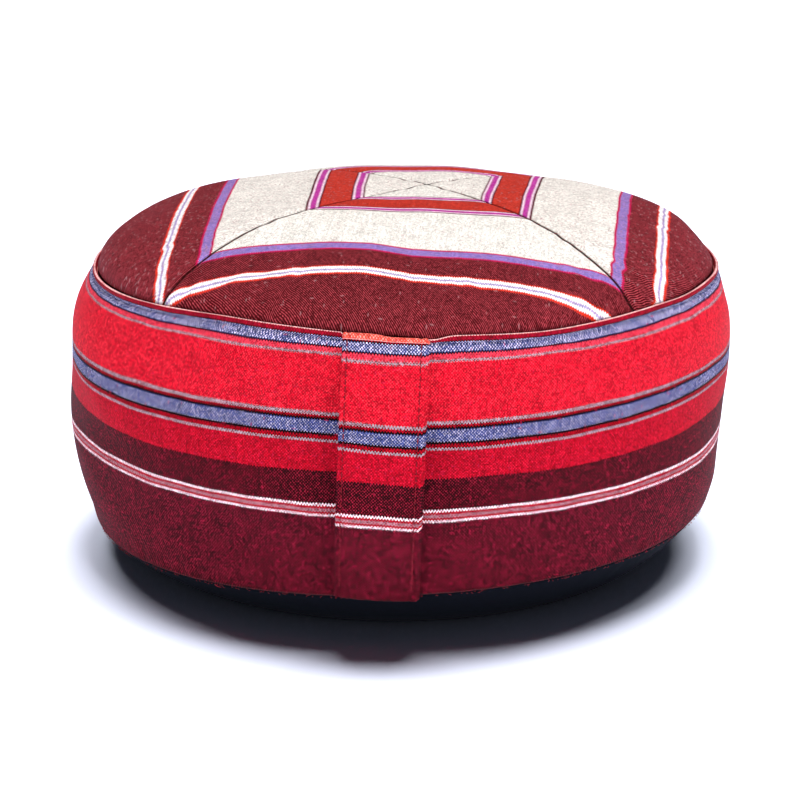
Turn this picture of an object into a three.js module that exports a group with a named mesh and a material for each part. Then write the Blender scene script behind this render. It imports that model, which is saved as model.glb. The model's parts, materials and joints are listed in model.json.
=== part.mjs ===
// A round meditation cushion: one filled body whose wall is the striped side band, four mitred
// top panels over its crown, a plain base panel under it, and a carrying strap sewn down the front.
// Millimetres, +Z up. The origin is the middle of the flat base, on the floor, and the strap
// faces -Y. Bearings are degrees from the front, turning towards +X.

import * as THREE from 'three';

// Side band: widest at the belly, from which it draws in by so much over each span, along a
// power curve, above and below
const BELLY_RADIUS = 165.2;
const BELLY_HEIGHT = 86.6;
const UPPER_DRAW_IN = 7.2;
const UPPER_SPAN = 56;
const UPPER_POWER = 3.55;
const LOWER_DRAW_IN = 10.3;
const LOWER_SPAN = 68;
const LOWER_POWER = 2.1;

// Top seam: it dips to the right, waves where the band's ends meet behind the strap, and its ring
// sits a little to the right of the base
const RIM_HEIGHT = 148.6;
const RIM_DIP = 1.3;
const RIM_WAVE = 1.1;
const RIM_SHIFT = 3.6;

// Bottom seam: it climbs to the right, and is a little lower at the sides
const SEAM_HEIGHT = 22.9;
const SEAM_CLIMB = 5.9;
const SEAM_SADDLE = 1.5;
const SEAM_CHANNEL = 1.2;

// Crown, and the point and bearings of the mitre seams that part its four panels
const CROWN_RISE = 31.2;
const CROWN_FLATNESS = 2.65;
const CROWN_ROUNDNESS = 0.745;
const MITRE_X = 14.5;
const MITRE_Y = 20;
const MITRE_BEARINGS = [-44.7, 35.5, 131.5, 221];
const MITRE_CHANNEL = 0.8;
const BESIDE_CHANNEL = 0.2;

// Base: the flat disc on the floor, and the radius towards which the cloth turns under
const FLAT_RADIUS = 121.6;
const TURN_RADIUS = 134;

// Cloth, the gap between pieces, and how far the panels stop short of the top seam
const CLOTH = 1.5;
const GAP = 0.3;
const CROWN_EDGE_INSET = 1.2;

// Section of the lip along the top seam, from its inner foot over its top to its outer foot:
// how far it stands out from the seam, how much of that goes behind the strap, and its rise
const LIP_SECTION = [
  { out: -0.9, stepBack: 0, rise: -1.5 },
  { out: -0.9, stepBack: 0, rise: 0.8 },
  { out: 0, stepBack: 0.6, rise: 1.2 },
  { out: 1.2, stepBack: 1.5, rise: 0.4 },
  { out: 0.7, stepBack: 1, rise: -1.2 },
  { out: -0.3, stepBack: 0, rise: -2.4 },
];

// Carrying strap: it leans to the left on its way down, and bows out most below the middle,
// where it also loses some of the wall's roundness
const STRAP_WIDTH = 39.2;
const STRAP_THICKNESS = 2.4;
const STRAP_TOP_X = -5.2;
const STRAP_FOOT_X = -9.8;
const STRAP_STAND_OFF = 8.2;
const STRAP_BELLY_POWER = 1.25;
const STRAP_FLATTENING = 0.7;
const STRAP_EDGE_ROUND = 0.8;
const STRAP_END_LIFT = 0.8;
const STRAP_NOTCH_CLEARANCE = 0.8;

// Facets, as steps, or as shares of the way from one end of a surface to the other
const STRAP_STEPS = 30;
const SECTOR_STEPS = 20;
const SEAM_STEP_SHARE = 0.05;
const NOTCH_RAMP_BEARING = 1.1;
const NOTCH_CLEAR_BEARING = 1.6;
const CROWN_ROWS = [0.13, 0.27, 0.41, 0.54, 0.66, 0.76, 0.845, 0.91, 0.955, 0.985, 1];
const WALL_ROWS = [0.045, 0.1, 0.18, 0.28, 0.39, 0.5, 0.61, 0.72, 0.82, 0.9, 0.955];
const BASE_ROWS = [0, 0.13, 0.27, 0.42, 0.58, 0.76, 1];

// Small steps that measure the slope of the crown and the direction of the strap's path
const SLOPE_PROBE = 0.5;
const PATH_PROBE = 0.002;

// Ground colours and dullness of the cloths
const BAND_RED = 0xd3222f;
const TOP_MAROON = 0x6a2430;
const BASE_NAVY = 0x171c28;
const COTTON_ROUGHNESS = 0.9;

const FULL_TURN = 360;
const HALF_TURN = 180;
const { clamp, degToRad, lerp, radToDeg } = THREE.MathUtils;

// A point at a bearing and a radius about the cushion's axis
function around(bearing, radius, height, shift = 0) {
  const angle = degToRad(bearing);
  return new THREE.Vector3(shift + radius * Math.sin(angle), -radius * Math.cos(angle), height);
}

function rimWave(bearing) {
  return -RIM_DIP * Math.sin(degToRad(bearing)) - RIM_WAVE * Math.sin(3 * degToRad(bearing));
}

function rimHeight(bearing) {
  return RIM_HEIGHT + rimWave(bearing);
}

function seamHeight(bearing) {
  const angle = degToRad(bearing);
  return SEAM_HEIGHT + SEAM_CLIMB * Math.sin(angle) + SEAM_SADDLE * Math.cos(2 * angle);
}

// The side band bellies out between the two seams
function wallRadius(height) {
  const away = height - BELLY_HEIGHT;
  if (away > 0) {
    return BELLY_RADIUS - UPPER_DRAW_IN * (away / UPPER_SPAN) ** UPPER_POWER;
  }
  return BELLY_RADIUS - LOWER_DRAW_IN * (-away / LOWER_SPAN) ** LOWER_POWER;
}

// The rim sits a little to the right of the base, so the wall leans over near its top
function wallShift(height) {
  const share = Math.max(0, (height - BELLY_HEIGHT) / (RIM_HEIGHT - BELLY_HEIGHT));
  return RIM_SHIFT * share * share;
}

function wallPoint(bearing, height, outward = 0) {
  return around(bearing, wallRadius(height) + outward, height, wallShift(height));
}

const RIM_RADIUS = wallRadius(RIM_HEIGHT);
const CROWN_RADIUS = RIM_RADIUS - CROWN_EDGE_INSET;

// Height of the top panels' outer face over a point of the plan
function crownHeight(x, y) {
  const away = new THREE.Vector2(x - RIM_SHIFT, y);
  const share = Math.min(1, away.length() / CROWN_RADIUS);
  const bearing = radToDeg(Math.atan2(away.x, -away.y));
  const dome = Math.max(0, 1 - share ** CROWN_FLATNESS) ** CROWN_ROUNDNESS;
  return RIM_HEIGHT + share * share * rimWave(bearing) + CROWN_RISE * dome;
}

// Outward direction of the crown, taken a little inside the rim, where the slope is still finite
function crownNormal(x, y) {
  const step = SLOPE_PROBE;
  const reach = Math.max(Math.hypot(x - RIM_SHIFT, y), step);
  const inside = Math.min(1, (CROWN_RADIUS - 3 * step) / reach);
  const px = RIM_SHIFT + (x - RIM_SHIFT) * inside;
  const py = y * inside;
  const riseX = crownHeight(px + step, py) - crownHeight(px - step, py);
  const riseY = crownHeight(px, py + step) - crownHeight(px, py - step);
  return new THREE.Vector3(-riseX, -riseY, 2 * step).normalize();
}

function crownPoint(x, y, depth) {
  const point = new THREE.Vector3(x, y, crownHeight(x, y));
  return point.addScaledVector(crownNormal(x, y), -depth);
}

// Where a ray from the mitre centre meets the crown's edge, as a bearing about the rim's centre
function edgeBearing(bearing) {
  const ray = around(bearing, 1, 0);
  const from = new THREE.Vector2(MITRE_X - RIM_SHIFT, MITRE_Y);
  const along = from.x * ray.x + from.y * ray.y;
  const reach = -along + Math.sqrt(along * along - from.lengthSq() + CROWN_RADIUS ** 2);
  return radToDeg(Math.atan2(from.x + reach * ray.x, -from.y - reach * ray.y));
}

const STRAP_BEARING = radToDeg(Math.asin((STRAP_TOP_X - RIM_SHIFT) / RIM_RADIUS));
const NOTCH_HALF_WIDTH = STRAP_WIDTH / 2 + STRAP_NOTCH_CLEARANCE;
const NOTCH_HALF_BEARING = radToDeg(NOTCH_HALF_WIDTH / RIM_RADIUS);

// Bearings at which the lip starts and ends its step back behind the strap
function notchBearings() {
  const edges = [];
  for (const side of [-1, 1]) {
    const edge = STRAP_BEARING + side * NOTCH_HALF_BEARING;
    edges.push(edge, edge + side * NOTCH_RAMP_BEARING);
  }
  return edges;
}

// One list of bearings for each sector of the crown, from one mitre seam to the next
function sectorBearings(start, end) {
  const steps = [0, SEAM_STEP_SHARE];
  for (let step = 1; step < SECTOR_STEPS - 2; step += 1) {
    steps.push(SEAM_STEP_SHARE + ((1 - 2 * SEAM_STEP_SHARE) * step) / (SECTOR_STEPS - 2));
  }
  steps.push(1 - SEAM_STEP_SHARE, 1);
  const notches = notchBearings().filter((notch) => notch > start && notch < end);
  const even = steps.map((share) => lerp(start, end, share));
  const clear = even.filter((bearing) => (
    notches.every((notch) => Math.abs(notch - bearing) > NOTCH_CLEAR_BEARING)
  ));
  return [...clear, ...notches].sort((a, b) => a - b);
}

function allSectors() {
  const corners = MITRE_BEARINGS.map(edgeBearing);
  return corners.map((corner, index) => {
    const next = corners[(index + 1) % corners.length];
    return sectorBearings(corner, next < corner ? next + FULL_TURN : next);
  });
}

const SECTORS = allSectors();

// The ring of bearings about the whole cushion, each seam counted once
const RING = SECTORS.flatMap((bearings) => bearings.slice(0, -1));

// Depth of the stitched channel at a step of a sector: full on the seam, a little beside it
function channelDepth(step, lastStep) {
  const fromSeam = Math.min(step, lastStep - step);
  return [MITRE_CHANNEL, BESIDE_CHANNEL][fromSeam] ?? 0;
}

const RING_CHANNELS = SECTORS.flatMap((bearings) => (
  bearings.slice(0, -1).map((bearing, step) => channelDepth(step, bearings.length - 1))
));

// How far the lip stands out at a bearing: fully, or not at all behind the strap
function lipShare(bearing) {
  const turned = (bearing - STRAP_BEARING + HALF_TURN + FULL_TURN) % FULL_TURN;
  const away = Math.abs(turned - HALF_TURN);
  const past = (away - NOTCH_HALF_BEARING) / NOTCH_RAMP_BEARING;
  return clamp(past, 0, 1);
}

// Turns the faces outwards and wraps the points in an indexed mesh
function solid(name, { points, faces }, colour) {
  let volume = 0;
  for (const [a, b, c] of faces) {
    volume += points[a].dot(new THREE.Vector3().crossVectors(points[b], points[c]));
  }
  const outward = volume > 0 ? faces : faces.map(([a, b, c]) => [a, c, b]);
  const geometry = new THREE.BufferGeometry();
  geometry.setAttribute(
    'position',
    new THREE.Float32BufferAttribute(points.flatMap((point) => point.toArray()), 3),
  );
  geometry.setIndex(outward.flat());
  geometry.computeVertexNormals();
  const material = new THREE.MeshStandardMaterial({
    color: colour,
    roughness: COTTON_ROUGHNESS,
    metalness: 0,
  });
  const mesh = new THREE.Mesh(geometry, material);
  mesh.name = name;
  return mesh;
}

// A closed skin through rings of equally many points, with a middle point at each end
function ringSkin(firstMiddle, rings, lastMiddle) {
  const count = rings[0].length;
  const points = [firstMiddle, ...rings.flat(), lastMiddle];
  const last = points.length - 1;
  const at = (ring, step) => 1 + ring * count + (step % count);
  const faces = [];
  for (let step = 0; step < count; step += 1) {
    faces.push([0, at(0, step), at(0, step + 1)]);
    for (let ring = 0; ring < rings.length - 1; ring += 1) {
      faces.push([at(ring, step), at(ring + 1, step), at(ring + 1, step + 1)]);
      faces.push([at(ring, step), at(ring + 1, step + 1), at(ring, step + 1)]);
    }
    faces.push([last, at(rings.length - 1, step + 1), at(rings.length - 1, step)]);
  }
  return { points, faces };
}

// The underside of the top panels as rings of the filled body
function crownRings() {
  return CROWN_ROWS.map((share) => RING.map((bearing, step) => {
    const edge = around(bearing, CROWN_RADIUS, 0, RIM_SHIFT);
    const x = lerp(MITRE_X, edge.x, share);
    const y = lerp(MITRE_Y, edge.y, share);
    return crownPoint(x, y, CLOTH + GAP + RING_CHANNELS[step]);
  }));
}

// The band's turned edge stands up as a thin lip along the top seam
function lipRings() {
  return LIP_SECTION.map(({ out, stepBack, rise }) => RING.map((bearing) => {
    const radius = RIM_RADIUS + out - stepBack * (1 - lipShare(bearing));
    return around(bearing, radius, rimHeight(bearing) + rise, RIM_SHIFT);
  }));
}

function wallRings() {
  const rings = WALL_ROWS.map((share) => RING.map((bearing) => (
    wallPoint(bearing, lerp(rimHeight(bearing), seamHeight(bearing), share))
  )));
  rings.push(RING.map((bearing) => (
    wallPoint(bearing, seamHeight(bearing) + GAP, -SEAM_CHANNEL)
  )));
  return rings;
}

// Outer face of the base: it leaves the seam, turns under and lies flat on the floor
function basePoint(bearing, share, depth) {
  const startHeight = seamHeight(bearing) - GAP;
  const start = new THREE.Vector2(wallRadius(startHeight) - SEAM_CHANNEL, startHeight);
  const turn = new THREE.Vector2(TURN_RADIUS, 0);
  const flat = new THREE.Vector2(FLAT_RADIUS, 0);
  const curve = new THREE.QuadraticBezierCurve(start, turn, flat);
  const point = curve.getPoint(share);
  const along = curve.getTangent(share);
  point.x += depth * along.y;
  point.y -= depth * along.x;
  return around(bearing, point.x, point.y);
}

function baseRings(depth) {
  return BASE_ROWS.map((share) => RING.map((bearing) => basePoint(bearing, share, depth)));
}

function makeBody() {
  const inside = CLOTH + GAP;
  const crownMiddle = crownPoint(MITRE_X, MITRE_Y, inside + MITRE_CHANNEL);
  const baseMiddle = new THREE.Vector3(0, 0, inside);
  const rings = [...crownRings(), ...lipRings(), ...wallRings(), ...baseRings(inside)];
  return solid('cushion_body', ringSkin(crownMiddle, rings, baseMiddle), BAND_RED);
}

function makeBasePanel() {
  const outer = baseRings(0).reverse();
  const inner = baseRings(CLOTH);
  const floorMiddle = new THREE.Vector3(0, 0, 0);
  const innerMiddle = new THREE.Vector3(0, 0, CLOTH);
  return solid('base_panel', ringSkin(floorMiddle, [...outer, ...inner], innerMiddle), BASE_NAVY);
}

// Plan of one top panel: its tip lies at the mitre centre and its seams stay half a gap away
// from the mitre lines
function panelPlan(bearings) {
  const last = bearings.length - 1;
  const edges = bearings.map((bearing) => (
    around(bearing, CROWN_RADIUS - GAP, 0, RIM_SHIFT)
  ));
  const inwards = new THREE.Vector3().subVectors(edges[last], edges[0]).normalize();
  edges[0].addScaledVector(inwards, GAP / 2);
  edges[last].addScaledVector(inwards, -GAP / 2);
  const tip = new THREE.Vector3(MITRE_X, MITRE_Y, 0);
  const middle = edges[Math.round(last / 2)];
  tip.addScaledVector(new THREE.Vector3().subVectors(middle, tip).normalize(), GAP);
  return { tip, edges };
}

// One face of a panel, as a tip and rows that run from seam to seam
function panelFace(plan, depth) {
  const last = plan.edges.length - 1;
  const tip = crownPoint(plan.tip.x, plan.tip.y, depth + MITRE_CHANNEL);
  const rows = CROWN_ROWS.map((share) => plan.edges.map((edge, step) => crownPoint(
    lerp(plan.tip.x, edge.x, share),
    lerp(plan.tip.y, edge.y, share),
    depth + channelDepth(step, last),
  )));
  return { tip, rows };
}

function makeTopPanel(name, bearings) {
  const plan = panelPlan(bearings);
  const faceSides = [panelFace(plan, 0), panelFace(plan, CLOTH)];
  const width = bearings.length;
  const sideSize = 1 + CROWN_ROWS.length * width;
  const points = faceSides.flatMap(({ tip, rows }) => [tip, ...rows.flat()]);
  const at = (side, row, step) => side * sideSize + (row < 0 ? 0 : 1 + row * width + step);
  const lastRow = CROWN_ROWS.length - 1;
  const faces = [];
  const quad = (a, b, c, d) => faces.push([a, b, c], [a, c, d]);
  for (let step = 0; step < width - 1; step += 1) {
    faces.push([at(0, -1), at(0, 0, step), at(0, 0, step + 1)]);
    faces.push([at(1, -1), at(1, 0, step + 1), at(1, 0, step)]);
    for (let row = 0; row < lastRow; row += 1) {
      quad(at(0, row, step), at(0, row + 1, step), at(0, row + 1, step + 1), at(0, row, step + 1));
      quad(at(1, row, step), at(1, row, step + 1), at(1, row + 1, step + 1), at(1, row + 1, step));
    }
    quad(at(0, lastRow, step), at(1, lastRow, step),
      at(1, lastRow, step + 1), at(0, lastRow, step + 1));
  }
  const lastStep = width - 1;
  for (let row = -1; row < lastRow; row += 1) {
    quad(at(0, row, 0), at(1, row, 0), at(1, row + 1, 0), at(0, row + 1, 0));
    quad(at(0, row, lastStep), at(0, row + 1, lastStep),
      at(1, row + 1, lastStep), at(1, row, lastStep));
  }
  return solid(name, { points, faces }, TOP_MAROON);
}

// Outline of the folded strap, as steps across its width and through its thickness
function strapOutline() {
  const half = STRAP_WIDTH / 2;
  const round = STRAP_EDGE_ROUND;
  return [
    [-half, round], [-half + round, 0], [-half / 2, 0], [0, 0], [half / 2, 0], [half - round, 0],
    [half, round], [half, STRAP_THICKNESS - round],
    [half - round, STRAP_THICKNESS], [half / 2, STRAP_THICKNESS], [0, STRAP_THICKNESS],
    [-half / 2, STRAP_THICKNESS], [-half + round, STRAP_THICKNESS],
    [-half, STRAP_THICKNESS - round],
  ];
}

// Middle of the strap's inner face, from the top seam (0) to the bottom seam (1), and how much
// the strap curves back beside it
function strapMiddle(share) {
  const top = rimHeight(STRAP_BEARING) + STRAP_END_LIFT;
  const foot = seamHeight(STRAP_BEARING) + STRAP_END_LIFT;
  const height = lerp(top, foot, share);
  const x = lerp(STRAP_TOP_X, STRAP_FOOT_X, share);
  const radius = wallRadius(Math.min(height, rimHeight(STRAP_BEARING)));
  const y = -Math.sqrt(radius * radius - (x - wallShift(height)) ** 2);
  const bow = Math.sin(Math.PI * share ** STRAP_BELLY_POWER);
  const outward = new THREE.Vector3(x - wallShift(height), y, 0).normalize();
  const middle = new THREE.Vector3(x, y, height);
  middle.addScaledVector(outward, GAP + STRAP_STAND_OFF * bow);
  return { middle, outward, bend: (1 - STRAP_FLATTENING * bow) / (2 * radius) };
}

function strapSection(share) {
  const before = strapMiddle(Math.max(0, share - PATH_PROBE)).middle;
  const after = strapMiddle(Math.min(1, share + PATH_PROBE)).middle;
  const down = new THREE.Vector3().subVectors(after, before).normalize();
  const { middle, outward, bend } = strapMiddle(share);
  const across = new THREE.Vector3().crossVectors(down, outward).normalize();
  const through = new THREE.Vector3().crossVectors(across, down).normalize();
  return strapOutline().map(([side, depth]) => (
    middle.clone()
      .addScaledVector(across, side)
      .addScaledVector(through, depth)
      .addScaledVector(outward, -bend * side * side)
  ));
}

function makeStrap() {
  const sections = [];
  for (let step = 0; step <= STRAP_STEPS; step += 1) {
    sections.push(strapSection(step / STRAP_STEPS));
  }
  const middleOf = (section) => section
    .reduce((sum, point) => sum.add(point), new THREE.Vector3())
    .divideScalar(section.length);
  const topMiddle = middleOf(sections[0]);
  const footMiddle = middleOf(sections[STRAP_STEPS]);
  return solid('carry_strap', ringSkin(topMiddle, sections, footMiddle), BAND_RED);
}

const cushion = new THREE.Group();
cushion.add(makeBody());
['front', 'right', 'back', 'left'].forEach((side, index) => {
  cushion.add(makeTopPanel(`top_panel_${side}`, SECTORS[index]));
});
cushion.add(makeBasePanel());
cushion.add(makeStrap());

export default cushion;
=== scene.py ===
"""A round meditation cushion in striped handwoven cotton.

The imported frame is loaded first, and each operator then builds one piece, or one group of like
pieces, over it. Shapes are worked out in millimetres and written to the meshes in metres.
Bearings are angles from the front (-Y), turning towards +X.
"""

import functools
import json
import math
import random

import bpy
import numpy as np
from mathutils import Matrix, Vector
from mathutils.bvhtree import BVHTree

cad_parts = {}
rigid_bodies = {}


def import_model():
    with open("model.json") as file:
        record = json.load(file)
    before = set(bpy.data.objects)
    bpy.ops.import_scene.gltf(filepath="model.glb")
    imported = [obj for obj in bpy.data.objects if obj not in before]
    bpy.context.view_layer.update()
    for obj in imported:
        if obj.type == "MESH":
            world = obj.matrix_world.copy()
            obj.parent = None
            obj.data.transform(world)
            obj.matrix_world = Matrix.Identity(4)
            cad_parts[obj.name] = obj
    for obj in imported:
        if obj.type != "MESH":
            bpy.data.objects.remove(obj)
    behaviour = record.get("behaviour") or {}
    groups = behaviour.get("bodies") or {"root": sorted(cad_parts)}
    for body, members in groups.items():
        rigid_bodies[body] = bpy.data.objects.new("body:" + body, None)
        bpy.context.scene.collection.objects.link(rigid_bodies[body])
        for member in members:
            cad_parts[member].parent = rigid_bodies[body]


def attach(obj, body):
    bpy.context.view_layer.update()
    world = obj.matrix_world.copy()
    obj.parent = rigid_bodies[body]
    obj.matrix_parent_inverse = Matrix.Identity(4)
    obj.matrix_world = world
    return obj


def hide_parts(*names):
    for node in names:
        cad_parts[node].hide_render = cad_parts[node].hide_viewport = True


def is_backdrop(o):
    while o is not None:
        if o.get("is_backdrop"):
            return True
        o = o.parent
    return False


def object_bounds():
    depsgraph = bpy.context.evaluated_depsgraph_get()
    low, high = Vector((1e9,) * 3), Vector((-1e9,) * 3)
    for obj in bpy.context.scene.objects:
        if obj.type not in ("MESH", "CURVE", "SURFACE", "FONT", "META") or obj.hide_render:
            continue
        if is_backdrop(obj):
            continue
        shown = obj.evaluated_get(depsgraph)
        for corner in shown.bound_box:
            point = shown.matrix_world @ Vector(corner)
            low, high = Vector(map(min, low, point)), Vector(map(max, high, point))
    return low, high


bl_info = {
    "name": "Striped Meditation Cushion",
    "version": (1, 0, 0),
    "blender": (4, 5, 0),
    "location": "View3D > Sidebar > Cushion",
    "description": "Builds the woven cover, seams, strap and stage of a round meditation cushion",
    "category": "Add Mesh",
}

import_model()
CAD_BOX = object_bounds()

MM = 0.001
FULL_TURN = 2 * math.pi
UP = np.array([0, 0, 1.0])

# Every random draw starts from this seed, so the script gives the same result each time
SEED = 11

# Side band: widest at the belly, from which it draws in above and below along a power curve
BELLY_RADIUS = 165.2
BELLY_HEIGHT = 86.6
UPPER_DRAW_IN, UPPER_SPAN, UPPER_POWER = 7.2, 56.0, 3.55
LOWER_DRAW_IN, LOWER_SPAN, LOWER_POWER = 10.3, 68.0, 2.1

# Top seam. It sits a little to the right of the base, and the crown above it tilts a little.
RIM_HEIGHT = 148.6
CROWN_TILT = -0.8
RIM_SHIFT = 3.6

# The seam's own uneven height: bearing in degrees, and millimetres above the floor. It hangs at
# both sides, where the crown bulges over it, and to the right of the strap.
RIM_LINE = [
    (-150, 149.0), (-128, 148.3), (-110, 146.3), (-96, 144.9), (-82, 144.1), (-70, 144.8),
    (-55, 146.5), (-42, 148.7), (-32, 149.9), (-18, 148.8), (-9, 147.5), (3, 146.8), (11, 146.4),
    (24, 145.2), (36, 146.4), (48, 147.4), (57, 146.5), (68, 146.9), (80, 145.6), (96, 144.6),
    (112, 145.5), (135, 147.6), (180, 148.6),
]

# Steps of smoothing that round off its corners, and the height from which the wall follows it
RIM_ROUNDING = 12
SAG_START = 120.0

# The band's two ends meet behind the strap with a small mismatch, so the crown's edge and the
# lower stripes lie higher at the left of the strap than at its right. RIM_LINE holds the top
# seam's own step there.
END_MISMATCH = 1.55
ENDS_MEET = math.radians(-3.6)
ENDS_MEET_HALF = math.radians(5.5)

# The strap's right edge pulls the lip and the crown's edge down beside it.
PULL_DEPTH = 1.9
PULL_BEARING = math.radians(4.3)
PULL_HALF = math.radians(2.2)

# Bottom seam: its height, how it climbs to the right and rises at front and back, and how far
# the wall is tucked in to it
SEAM_HEIGHT, SEAM_CLIMB, SEAM_SADDLE = 22.9, 5.9, 1.5
SEAM_TUCK = 1.2

# Crown: its rise, how flat its top and how round its shoulders are, and how far its edge lies
# inside the top seam
CROWN_RISE, CROWN_FLATNESS, CROWN_ROUNDNESS = 31.2, 2.65, 0.745
CROWN_EDGE_INSET = 1.2

# How near the crown's edge its swells end, and how sharply its height turns there to the uneven
# seam and to the strap's pull: the higher the power, the nearer the edge
SHOULDER = 0.09
RIM_BEND, PULL_BEND = 80, 24

# Soft swells of the crown, where more of the filling lies: x, y, reach and rise
CROWN_SWELLS = [
    (-72, -58, 42, 2.8),
    (-112, 62, 50, 2.4),
    (130, 30, 68, 4.2),
    (98, -88, 50, 2.6),
]

# The mitre seams' crossing and bearings, the groove of each, and the wider sink round it
MITRE = np.array([14.5, 20.0])
MITRE_BEARINGS = [math.radians(bearing) for bearing in (-44.7, 35.5, 131.5, 221.0)]
GROOVE_DEPTH, GROOVE_HALF = 1.0, 1.3
SINK_DEPTH, SINK_HALF = 0.5, 6.0

# Grooves and puckers fade out over these lengths towards the crown's edge
GROOVE_FADE, PUCKER_FADE = 3.0, 2.0

# Base: the flat disc on the floor, and the radius towards which the cloth turns under
FLAT_RADIUS, TURN_RADIUS = 121.6, 134.0

# Cloth, and the gap that each cover keeps to the filled body
CLOTH = 1.5
GAP = 0.3

# Strap: its section, its line, how far it stands off the wall and how flat it lies there, and how
# far its ends lie above the seams
STRAP_WIDTH, STRAP_THICKNESS = 39.2, 2.4
STRAP_TOP_X, STRAP_FOOT_X = -5.2, -9.8
STRAP_STAND_OFF, STRAP_BELLY_POWER, STRAP_FLATTENING = 8.2, 1.25, 0.7
STRAP_END_LIFT = 0.8

# The strap's slant: its rise to the left for each millimetre across at its top, the length at
# which it is level, and the share of it by which it leans the other way near its foot
STRAP_SLANT, STRAP_SLANT_END, STRAP_SLANT_FOOT = 0.03, 90.0, -0.4

# The strap's top edge rolls over inward. It lies higher at its left than at its right: by how
# much, where across the strap that turns over and how gradually, and how far down it is felt.
STRAP_ROLL_RADIUS = 0.9
STRAP_ROLL_TURN = math.radians(105)
ROLL_RISE, ROLL_MIDDLE, ROLL_SPREAD, ROLL_REACH = 0.55, 1.5, 2.5, 5.0


def linear(hex_colour):
    """An sRGB hex colour as linear red, green and blue."""
    parts = [int(hex_colour[start:start + 2], 16) / 255 for start in (1, 3, 5)]
    return tuple(part / 12.92 if part <= 0.04045 else ((part + 0.055) / 1.055) ** 2.4
                 for part in parts)


# Shape of the cushion, in millimetres


def smooth(share):
    """A soft step from none to one, as share goes from none to one."""
    share = np.clip(share, 0, 1)
    return share * share * (3 - 2 * share)


def bump(distance, half):
    """One at no distance, about a third at half, and soon nothing beyond."""
    return np.exp(-(distance / half) ** 2)


def soft_spots(x, y, spots):
    """The sum of round bumps, given by rows of x, y, reach and height."""
    return sum(most * bump(np.hypot(x - middle_x, y - middle_y), reach)
               for middle_x, middle_y, reach, most in spots)


def full_ring(steps):
    """Evenly spaced bearings all the way round."""
    return FULL_TURN * np.arange(steps) / steps


def ray(bearing):
    """The plan direction of a bearing."""
    return np.array([math.sin(bearing), -math.cos(bearing)])


def along_and_beside(x, y, bearing):
    """How far a plan place lies along a bearing, and beside it."""
    return (x * math.sin(bearing) - y * math.cos(bearing),
            x * math.cos(bearing) + y * math.sin(bearing))


def turned(bearing, start):
    """Bearings counted from start, from minus to plus half a turn."""
    return (bearing - start + math.pi) % FULL_TURN - math.pi


def mismatch(bearing):
    """How much higher the band lies because its ends don't quite match: most just left of the
    strap, falling evenly all round the back to as much below at its right."""
    away = turned(bearing, ENDS_MEET)
    return -END_MISMATCH * np.clip(away / ENDS_MEET_HALF, -1, 1) * (1 - np.abs(away) / math.pi)


def crown_wave(bearing):
    """How the crown's level rises and falls round its edge."""
    return mismatch(bearing) + CROWN_TILT * np.sin(bearing)


def strap_pull(bearing):
    """How far the strap pulls the lip and the crown's edge down."""
    return PULL_DEPTH * bump(turned(bearing, PULL_BEARING), PULL_HALF)


@functools.lru_cache(maxsize=1)
def rim_curve():
    """The top seam's height at each degree of bearing, the corners of its line rounded off."""
    degrees = np.arange(360)
    line = np.interp(degrees, *np.transpose(RIM_LINE), period=360)
    return degrees, blurred(line[None], 0, RIM_ROUNDING)[0]


def rim_height(bearing):
    """The top seam's height."""
    return np.interp(np.degrees(bearing), *rim_curve(), period=360)


def seam_height(bearing):
    """The bottom seam's height."""
    return SEAM_HEIGHT + SEAM_CLIMB * np.sin(bearing) + SEAM_SADDLE * np.cos(2 * bearing)


def wall_radius(height):
    """The side band's even radius."""
    above = np.maximum(height - BELLY_HEIGHT, 0) / UPPER_SPAN
    below = np.maximum(BELLY_HEIGHT - height, 0) / LOWER_SPAN
    return (BELLY_RADIUS - UPPER_DRAW_IN * above ** UPPER_POWER
            - LOWER_DRAW_IN * below ** LOWER_POWER)


def wall_shift(height):
    """How far the wall's rings lie to the right of the base's."""
    share = np.maximum(0, (height - BELLY_HEIGHT) / (RIM_HEIGHT - BELLY_HEIGHT))
    return RIM_SHIFT * share * share


def level_height(bearing, height):
    """A point's height if the top seam were level. The wall's upper edge rises and falls with
    the seam."""
    sag = RIM_HEIGHT - rim_height(bearing)
    return height + sag * smooth((height + sag - SAG_START) / (RIM_HEIGHT - SAG_START))


def around(bearing, radius, height, shift=0.0):
    """Points at a bearing and radius about the cushion's axis, which may be shifted along X."""
    bearing, radius, height, shift = np.broadcast_arrays(bearing, radius, height, shift)
    return np.stack([shift + radius * np.sin(bearing), -radius * np.cos(bearing), height], -1)


RIM_RADIUS = float(wall_radius(RIM_HEIGHT))
CROWN_RADIUS = RIM_RADIUS - CROWN_EDGE_INSET

# The strap as it is seen from above: its bearing, and half of what it covers of the lip, which
# is cut down behind it a little inside its edges
STRAP_BEARING = math.asin((STRAP_TOP_X - RIM_SHIFT) / RIM_RADIUS)
LIP_CUT_INSIDE = 1.6
STRAP_HALF_TURN = (STRAP_WIDTH / 2 - LIP_CUT_INSIDE) / RIM_RADIUS


def crown_edge(bearing, inset=0.0):
    """Plan points on the crown's edge, or inset from it."""
    return around(bearing, CROWN_RADIUS - inset, 0.0, RIM_SHIFT)[..., :2]


def crown_place(x, y):
    """A plan point as its share of the crown's radius and its bearing about the rim's middle."""
    return np.hypot(x - RIM_SHIFT, y) / CROWN_RADIUS, np.arctan2(x - RIM_SHIFT, -y)


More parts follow.
